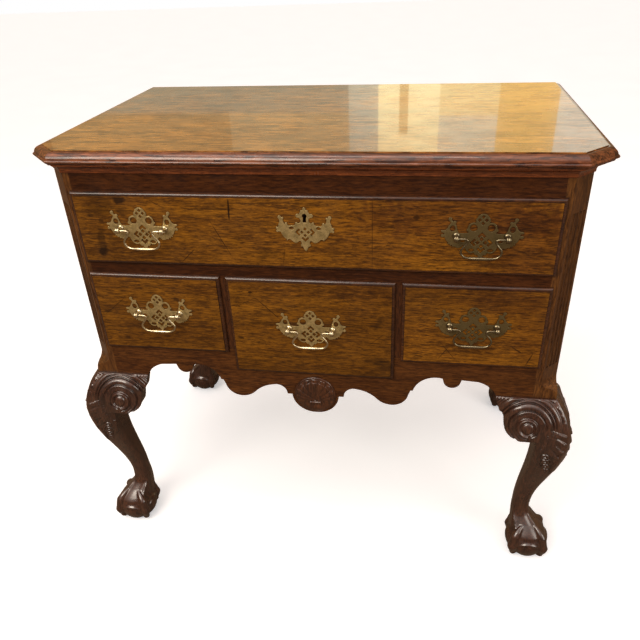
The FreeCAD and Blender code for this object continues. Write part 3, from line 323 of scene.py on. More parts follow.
# Marks of use on the drawer fronts, in millimetres: X, Z, half length, half width, degrees, strength
MARKS = {
    "front_top": (
        (-293, 710, 9, 5.5, 0, 0.85), (-337, 640, 24, 7, 84, 0.55), (-338, 622, 9, 7, 10, 0.75),
        (-117, 698, 16, 1.3, 87, 0.95), (-135, 649, 33, 0.7, -64, 0.8), (-231, 704, 14, 0.6, -29, 0.7),
        (-36, 622, 11, 0.7, 83, 0.6), (-194, 618, 17, 0.8, 44, 0.7), (-131, 646, 84, 0.5, -4, 0.6),
        (-346, 684, 5, 3, 0, 0.6), (-330, 676, 4, 3, 0, 0.6), (102, 660, 56, 0.5, 90, 0.75),
        (167, 691, 5, 3, 0, 0.7), (129, 707, 27, 0.7, 6, 0.6), (160, 647, 40, 0.5, -6, 0.6),
        (322, 640, 14, 1.5, -20, 0.5), (250, 625, 60, 1, 2, 0.4)),
    "front_left": (
        (-340, 520, 25, 0.6, 39, 0.7), (-227, 537, 5, 3, -34, 0.6), (-355, 508, 8, 2, 3, 0.6),
        (-187, 454, 17, 0.6, -26, 0.6), (-330, 457, 4, 2, 0, 0.6)),
    "front_middle": (
        (-69, 525, 30, 0.7, -45, 0.85), (-111, 535, 23, 0.6, 27, 0.6), (-98, 556, 3, 2, 0, 0.8),
        (0, 500, 132, 4, 1, 0.35), (-123, 467, 5, 2.5, 0, 0.7), (124, 433, 8, 1.6, 4, 0.7),
        (107, 474, 22, 0.6, 42, 0.5), (62, 545, 22, 0.6, -35, 0.4)),
    "front_right": (
        (333, 470, 11, 1, -33, 0.8), (356, 455, 12, 1, 69, 0.75), (225, 462, 21, 0.8, -51, 0.65),
        (218, 456, 12, 0.8, 57, 0.65), (180, 449, 7, 1.4, -10, 0.7), (300, 480, 9, 0.8, 20, 0.5)),
}
# Painted shade: darker, cooler patches of the fronts, mostly towards the right and along their upper edges,
# written like the marks
SHADE_PATCH_TINT = (0.64, 0.58, 0.86)
SHADE_PATCHES = {
    "front_top": ((245, 692, 150, 34, 0, 0.95), (330, 650, 60, 60, 0, 0.9), (110, 660, 60, 60, 0, 0.4),
                  (-300, 708, 70, 10, 0, 0.3)),
    "front_left": ((-200, 560, 50, 14, 0, 0.4),),
    "front_middle": ((100, 560, 60, 16, 0, 0.5),),
    "front_right": ((318, 556, 60, 22, -4, 0.7), (350, 500, 26, 60, 0, 0.5)),
}
# Where each drawer front is cut from the figured plank, and how bright it is
FRONTS = {
    "front_top": ((0, 0, 0), 1), "front_left": ((1.7, 0, 2.3), 0.93),
    "front_middle": ((3.9, 0, 5.1), 0.85), "front_right": ((6.3, 0, 8.9), 1.02),
}
FRONT_SHADES = (0.3, 0.118, 0.008), (0.185, 0.069, 0.006), (0.04, 0.014, 0.003)
# Finish of the fronts: the crevice reach paints shade into the gaps, and the lip paints shade onto the edges
# of the thumbnail lips
FRONT_FINISH = dict(
    gloss=0.42, coat=0.06, coat_rough=0.14, specular=0.25, wear=1, stains=1, streak=0.95, coarse=1.3,
    crevice_shade_reach=0.0045,
    shaded_lip=("Y", DRAWER_FACE + 0.4, DRAWER_FACE + 1.2, (0.36, 0.3, 1), 0.8))
RAIL_SHADES = (0.086, 0.026, 0.006), (0.06, 0.017, 0.004), (0.02, 0.005, 0.002)
SATIN = dict(gloss=0.38, coat=0.08, specular=0.25)
# Every other wood: its light, middle and dark shade, the axis of its grain, and its finish
WOODS = {
    # The top's lip paints shade onto its moulded edge below the flat
    "top": ((0.52, 0.23, 0.044), (0.33, 0.13, 0.022), (0.075, 0.025, 0.006), "X", dict(
        shift=(0.4, 1.1, 0), gloss=0.24, coat=1, coat_rough=0.045, wear=0.5, stains=1, streak=1.3,
        coarse=0.55, relief=0.5, shaded_lip=("Z", TOP - 0.9, TOP - 1.7, (0.46, 0.33, 0.62), 0.5))),
    "edge": ((0.27, 0.072, 0.018), (0.19, 0.048, 0.012), (0.075, 0.018, 0.006), "X", dict(
        shift=(2.4, 1.1, 0), gloss=0.24, coat=0.55, coat_rough=0.07, specular=0.35, wear=0, stains=0.3)),
    "rail": (*RAIL_SHADES, "X", SATIN),
    "apron": ((0.125, 0.044, 0.01), (0.088, 0.029, 0.007), (0.03, 0.009, 0.003), "X", SATIN),
    "stile": (*RAIL_SHADES, "Z", dict(specular=0.3)),
    "post": ((0.175, 0.068, 0.015), (0.12, 0.043, 0.01), (0.034, 0.011, 0.003), "Z",
             dict(specular=0.3, crevice_shade_reach=0.008)),
    "side": ((0.15, 0.052, 0.016), (0.105, 0.034, 0.011), (0.036, 0.011, 0.005), "Y",
             dict(gloss=0.33, coat_rough=0.12)),
    "carved": ((0.09, 0.033, 0.016), (0.06, 0.021, 0.011), (0.012, 0.004, 0.003), "Z",
               dict(gloss=0.28, coat=1, coat_rough=0.17, specular=0.7, wear=0, stains=0.5, crevice_shade_reach=0.007)),
    "shell": ((0.105, 0.035, 0.012), (0.074, 0.023, 0.008), (0.018, 0.006, 0.003), "Z",
              dict(coat=0.5, coat_rough=0.24, wear=0, stains=0.3, crevice_shade_reach=0.006)),
    "bare": ((0.47, 0.29, 0.13), (0.38, 0.22, 0.095), (0.17, 0.09, 0.04), "Y",
             dict(gloss=0.6, coat=0, wear=0.3, stains=0.7)),
    "bare_back": ((0.34, 0.2, 0.09), (0.26, 0.145, 0.065), (0.11, 0.055, 0.026), "X",
                  dict(gloss=0.62, coat=0, stains=0.9)),
}


def brass(name, bright, olive, metallic, gloss, relief):
    """Old cast brass, yellow and brown-green in patches, with painted shade in its hollows and towards the
    right.
    """
    r = Recipe(bpy.data.materials.new(name))
    cloud = r.noise(r.place((110, 110, 110)), detail=5, rough=0.7)
    grit = r.noise(r.place((700, 700, 700)), detail=2)
    dark = (0.035, 0.025, 0.013)
    colour = r.blend(r.span(cloud, 0.4, 0.64), bright, olive)
    # Painted shade: the brass darkens towards the right of the case
    colour = r.blend(r.span(r.coordinate("X"), 0.06, 0.24, 0, 0.9), colour, dimmed(olive, 0.42))
    # Painted shade: near black in hollows, by ambient occlusion
    colour = r.blend(r.span(r.crevice_shade(0.003), 0.3, 0.92, 0.9, 0), colour, dark)
    colour = r.cover(colour, r.span(grit, 0.55, 0.7), 0.5, dark)
    r.bump(grit, relief, 0.6)
    return r.finish(colour, r.span(cloud, 0.35, 0.7, gloss, gloss + 0.22), metallic=metallic)


def iron(name):
    """Lock plate and bolt: dark iron, mottled."""
    r = Recipe(bpy.data.materials.new(name))
    cloud = r.noise(r.place((90, 90, 90)), detail=5, rough=0.7)
    colour = r.blend(r.span(cloud, 0.4, 0.65), (0.13, 0.115, 0.1), (0.055, 0.042, 0.034))
    r.bump(cloud, 0.00015, 0.5)
    return r.finish(colour, r.span(cloud, 0.35, 0.7, 0.38, 0.6), metallic=0.85)


def make_materials():
    """Every material by its name."""
    made = {}
    for name, (shift, share) in FRONTS.items():
        shades = [dimmed(shade, share) for shade in FRONT_SHADES]
        made[name] = wood("wood_" + name, *shades, "X", shift=shift, marks=MARKS[name], shade_patches=SHADE_PATCHES[name],
                          **FRONT_FINISH)
    for name, (light, middle, dark, axis, finish) in WOODS.items():
        made[name] = wood("wood_" + name, light, middle, dark, axis, **finish)
    made["brass"] = brass("brass", (0.86, 0.76, 0.52), (0.5, 0.41, 0.24), 1, 0.22, 0.00003)
    made["plate"] = brass("brass_plate", (0.64, 0.49, 0.22), (0.33, 0.245, 0.1), 0.65, 0.26, 0.00012)
    made["iron"] = iron("iron")
    return made


# ---------- surroundings

def make_world():
    """White to the eye; to what mirrors it, dimmer and brightest from above."""
    world = bpy.data.worlds.new("studio")
    SCENE.world = world
    r = Recipe(world)
    r.nodes.clear()
    back, up = r.coordinate("Y", "Generated"), r.coordinate("Z", "Generated")
    colour = r.blend(r.span(up, 0.2, 0.62), (0.22, 0.16, 0.11), (1.18, 0.9, 0.8))
    colour = r.blend(r.span(back, -0.3, 0.3), colour, (0.62, 0.4, 0.18))
    colour = r.blend(r.span(up, 0.58, 0.95), colour, (1.8, 1.42, 1.28))
    glow = r.node("Background", {"Color": colour, "Strength": 0.46})
    plain = r.node("Background", {"Color": (1, 1, 1)})
    r.node("OutputWorld", {"Surface": r.shown_or_met(plain.outputs[0], glow.outputs[0])})
    SCENE.view_settings.view_transform = "Standard"
    SCENE.view_settings.look = "None"


def make_floor():
    """Pale, finely mottled floor that gives the polished wood little to mirror."""
    r = Recipe(bpy.data.materials.new("floor"))
    cloud = r.noise(r.place((3, 3, 3)), detail=4)
    colour = r.blend(r.span(cloud, 0.3, 0.7), (0.9, 0.92, 0.95), (0.87, 0.89, 0.92))
    r.finish(colour, 0.8, specular=0.1)
    dim = r.node("BsdfDiffuse", {"Color": (0.17, 0.13, 0.095)})
    glow = r.node("Emission", {"Color": colour, "Strength": 0.46})
    lit = r.node("AddShader", {0: r.shader.outputs[0], 1: glow.outputs[0]})
    r.put(r.nodes["Material Output"].inputs["Surface"], r.shown_or_met(lit.outputs[0], dim.outputs[0]))
    data = bpy.data.meshes.new("floor")
    half = 14
    data.from_pydata([(-half, -half, 0), (half, -half, 0), (half, half, 0), (-half, half, 0)], [], [range(4)])
    data.materials.append(r.owner)
    floor = bpy.data.objects.new("floor", data)
    SCENE.collection.objects.link(floor)


# ---------- the CAD's own nodes

# The first of these fragments that is in a node's name says its material
MATERIAL_BY_FRAGMENT = (
    ("top_board", "top"), ("cove_", "edge"), ("side_panel", "side"), ("_rail", "rail"), ("dividers", "stile"),
    ("front_apron", "apron"), ("shell", "shell"), ("lock_", "iron"), ("escutcheon", "plate"),
    ("_plate", "plate"), ("_posts", "brass"), ("_bail", "brass"), ("leg_", "carved"), ("knee_", "carved"),
    ("top_drawer_front", "front_top"), ("left_drawer_front", "front_left"),
    ("middle_drawer_front", "front_middle"), ("right_drawer_front", "front_right"),
    ("back", "bare_back"), ("partition_guides", "bare_back"), ("", "bare"),
)
REMADE = ("carved", "shell", "plate", "brass")    # materials of the nodes that the scene's own meshes replace


def dress_nodes(materials):
    """Give every CAD node its material, and ease the edges of those that stay."""
    for name, node in NODES.items():
        material = next(material for fragment, material in MATERIAL_BY_FRAGMENT if fragment in name)
        node.data.materials.clear()
        node.data.materials.append(materials[material])
        if material not in REMADE:
            ease(node)


def ease(item):
    """Soften the sharp edges a little."""
    bevel = item.modifiers.new("eased", "BEVEL")
    bevel.width = 0.6 * MM
    bevel.segments = 2
    bevel.limit_method = "ANGLE"
    bevel.angle_limit = math.radians(50)


# ---------- sections and meshes

def smooth_step(value, low, high):
    """0 below low, 1 above high, smooth between; low may lie above high."""
    share = np.clip((value - low) / (high - low), 0, 1)
    return share * share * (3 - 2 * share)


def crown(offset):
    """Half-round section: 1 in the middle, 0 at an offset of 1 and beyond."""
    return np.sqrt(np.clip(1 - offset ** 2, 0, 1))


def bell(offset, half):
    """Soft section: 1 in the middle, falling away over the half width."""
    return np.exp(-(offset / half) ** 2)


def ring(x, y, z):
    """Points from three rows of places, any of which may be one number."""
    return np.stack(np.broadcast_arrays(x, y, z), 1)


def new_mesh(name, points, faces):
    data = bpy.data.meshes.new(name)
    data.from_pydata([tuple(p) for p in np.asarray(points, float) * MM], [], faces)
    data.validate()
    return data


def closed_rings(rings, looped=False):
    """Faces between rings, closed by a cap on both ends or looped into a hoop."""
    count = len(rings[0])
    points = np.concatenate(rings)
    faces = []
    for row in range(len(rings) - (0 if looped else 1)):
        here, after = row * count, (row + 1) % len(rings) * count
        for k in range(count):
            beside = (k + 1) % count
            faces.append((here + k, here + beside, after + beside, after + k))
    if not looped:
        faces += [tuple(range(count))[::-1], tuple(range(len(points) - count, len(points)))]
    return points, faces


def joined(pieces):
    """Several (points, faces) as one."""
    points, faces, start = [], [], 0
    for some_points, some_faces in pieces:
        points.append(np.asarray(some_points, float))
        faces += [tuple(i + start for i in face) for face in some_faces]
        start += len(some_points)
    return np.concatenate(points), faces


def worked(name, pieces, voxel, smoothing):
    """Overlapping closed shapes grown into one skin with soft inner corners."""
    data = new_mesh(name, *joined(pieces))
    rough = bpy.data.objects.new(name, data)
    SCENE.collection.objects.link(rough)
    skin = rough.modifiers.new("skin", "REMESH")
    skin.mode = "VOXEL"
    skin.voxel_size = voxel * MM
    soften = rough.modifiers.new("soften", "SMOOTH")
    soften.factor = 0.5
    soften.iterations = smoothing
    graph = bpy.context.evaluated_depsgraph_get()
    made = bpy.data.meshes.new_from_object(rough.evaluated_get(graph))
    bpy.data.objects.remove(rough)
    bpy.data.meshes.remove(data)
    made.name = name
    return made


def read_vertices(data, what, size):
    """Points or normals of a mesh, as rows of three."""
    flat = np.empty(len(data.vertices) * 3)
    data.vertices.foreach_get(what, flat)
    return flat.reshape(-1, 3) / size


def read_points(data):
    return read_vertices(data, "co", MM)


def write_points(data, points):
    data.vertices.foreach_set("co", (points * MM).ravel())
    data.update()


def mirrored_mesh(data, name, signs):
    """Copy on the other side of the case, its faces still outwards."""
    other = data.copy()
    other.name = name
    write_points(other, read_points(data) * np.array(signs))
    if np.prod(signs) < 0:
        other.flip_normals()
    return other


def shade(data, smooth):
    data.polygons.foreach_set("use_smooth", [smooth] * len(data.polygons))
    data.update()


def added(name, data, material, body):
    """Object made of a mesh, with its material, riding on a body."""
    data.materials.clear()
    data.materials.append(material)
    item = bpy.data.objects.new("visual_" + name, data)
    SCENE.collection.objects.link(item)
    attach(item, body)
    return item


def stand_in(name, data, material, body, node=None, smooth=True):
    """Closed shells, faces outwards, in place of the CAD node of that name or of the one given."""
    bm = bmesh.new()
    bm.from_mesh(data)
    bmesh.ops.recalc_face_normals(bm, faces=bm.faces[:])
    bm.to_mesh(data)
    bm.free()
    shade(data, smooth)
    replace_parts(added(name, data, material, body), node or name)


def turned(profile, sides, centre, axis):
    """Solid turned about an axis through the centre, from (place, radius) points."""
    turns = np.linspace(0, 2 * np.pi, sides, endpoint=False)
    rings = []
    for place, radius in profile:
        a, b = radius * np.cos(turns), radius * np.sin(turns)
        rings.append((ring(place, a, b) if axis == "X" else ring(a, place, b)) + centre)
    return closed_rings(rings)


def hoop(outline, sides, centre):
    """Ring turned about X from a closed outline of (place, radius) points."""
    place, radius = np.array(outline).T
    turns = 2 * np.pi * np.arange(sides) / sides
    rings = [ring(place, radius * math.cos(t), radius * math.sin(t)) + centre for t in turns]
    return closed_rings(rings, looped=True)


def smooth_path(points, steps):
    """Curve through points, with so many steps from each to the next."""
    through = np.array(points, float)
    ends = np.vstack([2 * through[0] - through[1], through, 2 * through[-1] - through[-2]])
    made = []
    for a, b, c, d in zip(ends[:-3], ends[1:-2], ends[2:-1], ends[3:]):
        for t in np.arange(steps) / steps:
            made.append(0.5 * (2 * b + (c - a) * t + (2 * a - 5 * b + 4 * c - d) * t ** 2
                               + (3 * b - a - 3 * c + d) * t ** 3))
    return np.array(made + [through[-1]])


def above(node, height):
    """Copy of a node's mesh above a height."""
    bm = bmesh.new()
    bm.from_mesh(node.data)
    geometry = bm.verts[:] + bm.edges[:] + bm.faces[:]
    cut = bmesh.ops.bisect_plane(bm, geom=geometry, plane_co=(0, 0, height * MM), plane_no=(0, 0, -1),
                                 clear_outer=True)
    edges = [item for item in cut["geom_cut"] if isinstance(item, bmesh.types.BMEdge)]
    bmesh.ops.edgeloop_fill(bm, edges=edges)
    made = bpy.data.meshes.new("post")
    bm.to_mesh(made)
    bm.free()
    return made


# ---------- legs

# Heights over the floor
KNEE = 300
CALF = 270
ANKLE = 100
# How far outer faces stand in front of the case's faces, and inner faces behind them
KNEE_OUT = 30.4
ANKLE_OUT = -8
BLOCK_OUT = 4
CALF_IN = 27
ANKLE_IN = 40
BLOCK_IN = 39
BALL = np.array([403, -230.5, 31.5])
BALL_RADIUS = 38
TOES = (-45, -135, 45, 135)    # degrees about the ball
FOOT_TURNS = np.radians(np.arange(0, 360, 1.5))
SKIN_TOP = 97
SKIN_LEAN = 17    # how far the ankle stands off the ball's middle, towards the case


def swing(low, high, share):
    """S-shaped way from one value to another."""
    return low + (high - low) * (1 - np.cos(np.pi * share)) / 2


def bow(rise, run, along_run):
    """Circular arc that rises by so much over its run."""
    radius = (run * run + rise * rise) / (2 * rise)
    return radius - np.sqrt(np.maximum(radius * radius - along_run * along_run, 0))


def leg_outer(height):
    """How far the leg's outer faces stand in front of the case faces."""
    height = np.asarray(height, float)
    over = KNEE_OUT - bow(KNEE_OUT - BLOCK_OUT, BLOCK - KNEE, np.clip(height - KNEE, 0, BLOCK - KNEE))
    shin = swing(ANKLE_OUT, KNEE_OUT, np.clip((height - ANKLE) / (KNEE - ANKLE), 0, 1))
    foot = ANKLE_OUT + 10 * (np.clip(ANKLE - height, 0, 60) / 46) ** 2
    return np.where(height > KNEE, over, np.where(height > ANKLE, shin, foot))


def leg_inner(height):
    """How far the leg's inner faces stand behind the case faces."""
    height = np.asarray(height, float)
    over = CALF_IN + bow(BLOCK_IN - CALF_IN, BLOCK - CALF, np.clip(height - CALF, 0, BLOCK - CALF))
    shin = swing(ANKLE_IN, CALF_IN, np.clip((height - ANKLE) / (CALF - ANKLE), 0, 1))
    return np.where(height > CALF, over, np.where(height > ANKLE, shin, ANKLE_IN))


def turn_from(turns, toe):
    """Signed angle from a toe, in radians."""
    return np.angle(np.exp(1j * (turns - math.radians(toe))))


def toe_width(polar):
    """Half width of a toe down the ball: tendon, two knuckles and the talon."""
    return np.interp(polar, (0, 18, 34, 48, 60, 70, 80, 92, 102, 110, 118, 127, 136),
                     (3, 4, 5.6, 7.4, 8.6, 7.2, 7, 9.2, 7.4, 5.8, 6.8, 4.2, 0.4))


def web_reach(height):
    """Half width of the skin drawn down from the ankle over the ball."""
    return np.interp(height, (20, 26, 32, 38, 46, 54, 62, 72, 84, 98),
                     (37, 38.6, 39.3, 39, 37, 33.4, 28.6, 23, 18.5, 16))


def hem_height(turns):
    """Lower edge of the skin: high between the toes, low beside them."""
    between = np.abs(np.sin(2 * (turns - math.radians(45))))
    return BALL[2] - 9 + 19.5 * between ** 0.7, between


def foot_ring(reach, level, lean=0):
    """Points round the ball, at a reach from its middle that may lean towards the case."""
    x, y = BALL[0] - lean, BALL[1] + lean
    return ring(x + reach * np.cos(FOOT_TURNS), y + reach * np.sin(FOOT_TURNS), level)


def foot_skin():
    """Skin between the toes, with a tendon to each and a rolled hem over the bare ball."""
    hem, between = hem_height(FOOT_TURNS)
    rings = []
    for share in np.linspace(0, 1, 70):
        level = SKIN_TOP + (hem - SKIN_TOP) * share
        reach = web_reach(level) - 2 * between * smooth_step(level, 96, 60) * smooth_step(level, 40, 50)
        for toe in TOES:
            bend = np.degrees(turn_from(FOOT_TURNS, toe))
            reach = reach + 4.6 * smooth_step(level, 96, 76) * bell(bend, 8)
        reach = reach + 1.8 * between * bell(level - hem - 1.8, 2)
        rings.append(foot_ring(reach, level, SKIN_LEAN * smooth_step(level, 52, 96)))
    rings.append(foot_ring(26, hem))
    return closed_rings(rings)


def leg_shaft():
    """Knee, shin and ankle with a tendon over each toe."""
    rings = []
    turns = np.radians(np.arange(0, 360, 4))
    cos, sin = np.cos(turns), np.sin(turns)
    for height in np.linspace(49, BLOCK, 94):
        outer, inner = leg_outer(height), leg_inner(height)
        share = np.clip((height - ANKLE) / (KNEE - ANKLE), 0, 1)
        squareness = 2.35 + 3.4 * share ** 1.3
        half, middle = (outer + inner) / 2, (outer - inner) / 2
        out_x = middle + half * np.sign(cos) * np.abs(cos) ** (2 / squareness)
        out_y = middle + half * np.sign(sin) * np.abs(sin) ** (2 / squareness)
        tendon = smooth_step(height, 128, 82)
        for toe in TOES:
            swell = 3 * tendon * bell(np.degrees(turn_from(turns, toe)), 13)
            out_x, out_y = out_x + swell * cos, out_y + swell * sin
        rings.append(ring(SIDE + out_x, FRONT - out_y, height))
    return closed_rings(rings)


def claw_foot():
    """Ball held by four knuckled toes."""
    hem, between = hem_height(FOOT_TURNS)
    rings = []
    for polar in np.linspace(14, 146, 120):
        cos, sin = math.cos(math.radians(polar)), math.sin(math.radians(polar))
        below = hem - BALL[2] - BALL_RADIUS * cos
        reach = BALL_RADIUS + between * (1.4 * smooth_step(below, 2, 9) - 2.2 * bell(below - 1.6, 2))
        width = toe_width(polar)
        for toe in TOES:
            rise = (2.2 + width) * crown(BALL_RADIUS * sin * turn_from(FOOT_TURNS, toe) / width)
            reach = np.maximum(reach, BALL_RADIUS + rise * smooth_step(width, 0.2, 2.5))
        rings.append(foot_ring(reach * sin, np.maximum(BALL[2] + reach * cos, 0)))
    return closed_rings(rings)


def bracket_proud(aside, height):
    """How far a bracket's face stands in front of the case."""
    fall = np.interp(aside, (0, 46, 56, 66, 74, 82, 90, 98), (1, 1, 0.92, 0.7, 0.48, 0.28, 0.12, 0))
    return 3 + (leg_outer(height) - 3) * fall


def place_on_corner(aside, height, proud, on_side):
    """Points at a distance from the front right corner, proud of the front or of the side."""
    if on_side:
        return ring(SIDE + proud, FRONT + aside, height)
    return ring(SIDE - aside, FRONT - proud, height)


def bracket_low(aside):
    """Lower edge of a bracket over the distance from the corner."""
    places = (8, 44, 56, 64, 70, 75, 78, 80, 81, 83, 87, 91, 93, 95, 98)
    heights = (299, 299, 299, 300.5, 303.5, 308, 313, 320, 327, 338, 343, 347, 352, 358, 371.4)
    return np.interp(aside, places, heights)


def bracket_block(on_side):
    """Shaped block beside the knee, below the apron or below the side panel."""
    cuts = np.concatenate([np.arange(8, 72, 4), np.arange(72, 98.1, 2)])
    slabs = []
    for left, right in zip(cuts[:-1], cuts[1:]):
        rings = []
        for aside in (left, right + 0.4):
            levels = np.linspace(bracket_low(aside), BLOCK, 14)
            front = place_on_corner(aside, levels, bracket_proud(aside, levels), on_side)
            back = place_on_corner(aside, levels, -10, on_side)
            rings.append(np.concatenate([front, back[::-1]]))
        slabs.append(closed_rings(rings))
    return joined(slabs)


# ---------- carving of the knees

VOLUTE = (43, 325)    # the eye: distance from the corner, height
# Mouldings round the eye: distance from it, half width, height (below 0 for a groove)
SCROLL = ((16.2, 2.4, 2.6), (20.2, 1.6, -1.8))
ARCH = ((27.5, 2, 1.6), (30.8, 1, -1.2), (35.5, 5.2, 3.2), (41.6, 0.9, -1.6), (44, 1.6, 1.2),
        (46.4, 0.9, -1.4), (51, 3.8, 1.9))
PEARLS = (60.5, 3, 1.6)
OUTSIDE = ((64.4, 0.9, -1.3), (67, 2, 1.3), (72.5, 2.2, 1.2))
PEARL_LENGTH = 7
PEARL_ROUND = 62    # radius at which that length is measured
REEDS = 58.5    # distance of a reed's crest
REED_PITCH = 4
# Acanthus lobes: root and tip, each by its distance from the corner and its height, half width, rise
LEAFLETS = (
    (12, 322, -22, 316, 6.5, 2.4), (12, 313, -25, 298, 7, 2.6), (13, 305, -22, 280, 7, 2.8),
    (16, 297, -16, 264, 7, 2.8), (20, 289, -8, 250, 6.5, 2.6), (24, 282, 2, 240, 6, 2.2),
    (26, 272, 11, 236, 5, 1.8), (-34, 322, -29, 278, 8, 2.6), (-27, 288, -19, 246, 8, 2.8),
    (-20, 258, -9, 216, 7.5, 2.6), (-2, 262, 2, 226, 5, 1.8),
)


def moulding(distance, middle, half, height):
    """Half-round bead, or a soft groove where the height is below 0."""
    offset = distance - middle
    return height * (crown(offset / half) if height > 0 else bell(offset, half))


def mouldings(distance, rows):
    return sum(moulding(distance, *row) for row in rows)


def leaflet(aside, height, start_a, start_z, end_a, end_z, half, rise):
    """Acanthus lobe: swollen sides, a sunk midrib and fine veins, pointed at its tip."""
    run_a, run_z = end_a - start_a, end_z - start_z
    length = math.hypot(run_a, run_z)
    share = ((aside - start_a) * run_a + (height - start_z) * run_z) / length ** 2
    across = ((aside - start_a) * run_z - (height - start_z) * run_a) / length
    across = across + 2.2 * np.sin(np.clip(share, 0, 1) * math.pi)
    inside = np.clip(share, 0, 1)
    width = half * np.sin(np.pi * np.clip(inside, 0.001, 0.999) ** 0.62) ** 0.7
    offset = np.abs(across) / np.maximum(width, 0.01)
    root = smooth_step(inside, 0, 0.2)
    body = 1.3 * rise * np.clip(1 - offset ** 2.4, 0, 1) ** 0.6 * (0.35 + 0.65 * inside) * root
    midrib = -0.9 * bell(across, 0.9) * (1 - inside) * root
    veins = 0.22 * np.cos((share * length - 1.1 * np.abs(across)) * 2 * np.pi / 4.4)
    shape = body + (midrib + veins) * smooth_step(offset, 1, 0.7)
    return np.where((share > 0) & (share < 1) & (offset < 1), np.maximum(shape, 0), 0)


def knee_leaves(aside, height):
    """Acanthus lobes, with four small curls down the shin."""
    leaves = np.zeros_like(aside)
    for lobe in LEAFLETS:
        leaves = np.maximum(leaves, leaflet(aside, height, *lobe))
    for step in range(4):
        curl = np.hypot(aside - 8 + 2.2 * step, 1.15 * (height - 268 + 13 * step))
        rolled = moulding(curl, 4.9 - 0.3 * step, 2.6, 2.5 - 0.2 * step)
        leaves = np.maximum(leaves * smooth_step(curl, 7, 10), rolled)
    return leaves


def knee_relief(aside, height):
    """Height of the carving."""
    da, dz = aside - VOLUTE[0], height - VOLUTE[1]
    distance = np.hypot(da, dz)
    angle = np.degrees(np.arctan2(dz, da))
    turn = np.mod(angle + 100, 360)
    spiral = distance + 3.2 * turn / 360
    seam = smooth_step(np.minimum(turn, 360 - turn), 0, 16)
    relief = 2 * np.clip(1 - (distance / 10) ** 2, 0, 1) - 1.2 * bell(distance - 11, 1.4)
    relief = relief + seam * mouldings(spiral, SCROLL)
    over = smooth_step(turn, 8, 40) * smooth_step(turn, 302, 262)
    relief = relief + over * mouldings(distance, ARCH)
    reeds = (0.5 + 0.5 * np.cos((distance - REEDS) * 2 * np.pi / REED_PITCH)) ** 0.6 * 1.9
    fanned = smooth_step(distance, 54.5, 57) * smooth_step(angle, 112, 96) * smooth_step(angle, -20, 0)
    relief = relief + reeds * fanned
    outside = smooth_step(angle, 92, 104) * smooth_step(angle, 179, 160) * smooth_step(distance, 54.5, 56)
    dots = np.clip(np.cos(np.radians(angle) * PEARL_ROUND / PEARL_LENGTH * math.pi), 0, 1) ** 0.8
    relief = relief + outside * (moulding(distance, *PEARLS) * dots + mouldings(distance, OUTSIDE))
    leaves = knee_leaves(aside, height)
    clear = smooth_step(distance, 19.5, 23.5) * (1 - over * smooth_step(distance, 54, 50))
    ground = -0.8 * clear * smooth_step(height, 200, 235) * smooth_step(aside, 34, 26)
    off_arris = smooth_step(aside + leg_outer(height), 3.5, 13)
    return (relief + clear * leaves + ground * smooth_step(leaves, 0.7, 0)) * off_arris


def carve_knee(data):
    """Raise the carving on the two outer faces of the knee and its brackets."""
    points, normals = read_points(data), read_vertices(data, "normal", 1)
    from_x, from_y = SIDE - points[:, 0], points[:, 1] - FRONT
    aside = np.maximum(from_x, from_y)
    facing = np.where(from_x > from_y, -normals[:, 1], normals[:, 0])
    near_corner = np.maximum(-normals[:, 1], normals[:, 0])
    facing = np.where(aside < 5, near_corner, facing)
    high = points[:, 2]
    share = smooth_step(facing, 0.35, 0.75) * smooth_step(high, 205, 225) * smooth_step(high, 371.8, 369.5)
    relief = knee_relief(aside, high)
    write_points(data, points + normals * (relief * share)[:, None])


def make_legs(materials):
    """Four cabriole legs on ball-and-claw feet: the front pair carved, the rear pair plain."""
    shape = [leg_shaft(), foot_skin(), claw_foot(), bracket_block(on_side=True)]
    front = worked("leg_front", shape + [bracket_block(on_side=False)], 0.75, 7)
    carve_knee(front)
    rear = worked("leg_rear", shape, 1.3, 3)
    plans = (
        ("front_right", front, (1, 1, 1), ["knee_brackets_front_right"]),
        ("front_left", front, (-1, 1, 1), ["knee_brackets_front_left"]),
        ("rear_right", rear, (1, -1, 1), []),
        ("rear_left", rear, (-1, -1, 1), ["knee_brackets_rear"]),
    )
    for place, source, signs, brackets in plans:
        node = "leg_" + place
        data = mirrored_mesh(source, node, signs)
        shade(data, True)
        leg = added(node, data, materials["carved"], "case")
        upper = above(NODES[node], BLOCK + 0.15)
        ease(added("post_" + place, upper, materials["post"], "case"))
        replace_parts(leg, node, *brackets)


# ---------- shell

SHELL_FOOT = 338    # where the ribs meet
SHELL_MIDDLE = 13    # middle of its round outline over that
SHELL_ROUND = 37.5    # radius of the outline
SHELL_SPREAD = 105    # degrees the ribs open to, each side of upright
SHELL_RIBS = 11


def shell_relief(turn, share, limit):
    """Height of the shell's face: ribs that end in beads, inside a double rim."""
    pitch = 2 * SHELL_SPREAD / SHELL_RIBS
    aside = turn / pitch - np.round(turn / pitch)
    fan = smooth_step(np.abs(turn), SHELL_SPREAD + 4, SHELL_SPREAD - 4)
    rise = 3.2 * share * smooth_step(share, 0.86, 0.76) * smooth_step(np.abs(turn), 108, 60)
    ribs = 0.8 + rise * crown(2 * aside)
    wide = math.radians(pitch) * limit
    beads = 2.2 * crown(np.hypot((share - 0.84) * limit, aside * wide * share) / (0.4 * wide * 0.86))
    rim = 2.8 * crown((share - 0.955) / 0.04)
    dome = 1.6 + 2.2 * np.sin(np.pi * np.clip(share, 0, 1) ** 1.3)
    low = 1.8 + 1.2 * np.cos(share * 9)
    face = dome + np.maximum(ribs, beads) * fan + low * (1 - fan) * (1 - share)
    return np.where(share > 0.915, np.maximum(rim, 0.4), face)


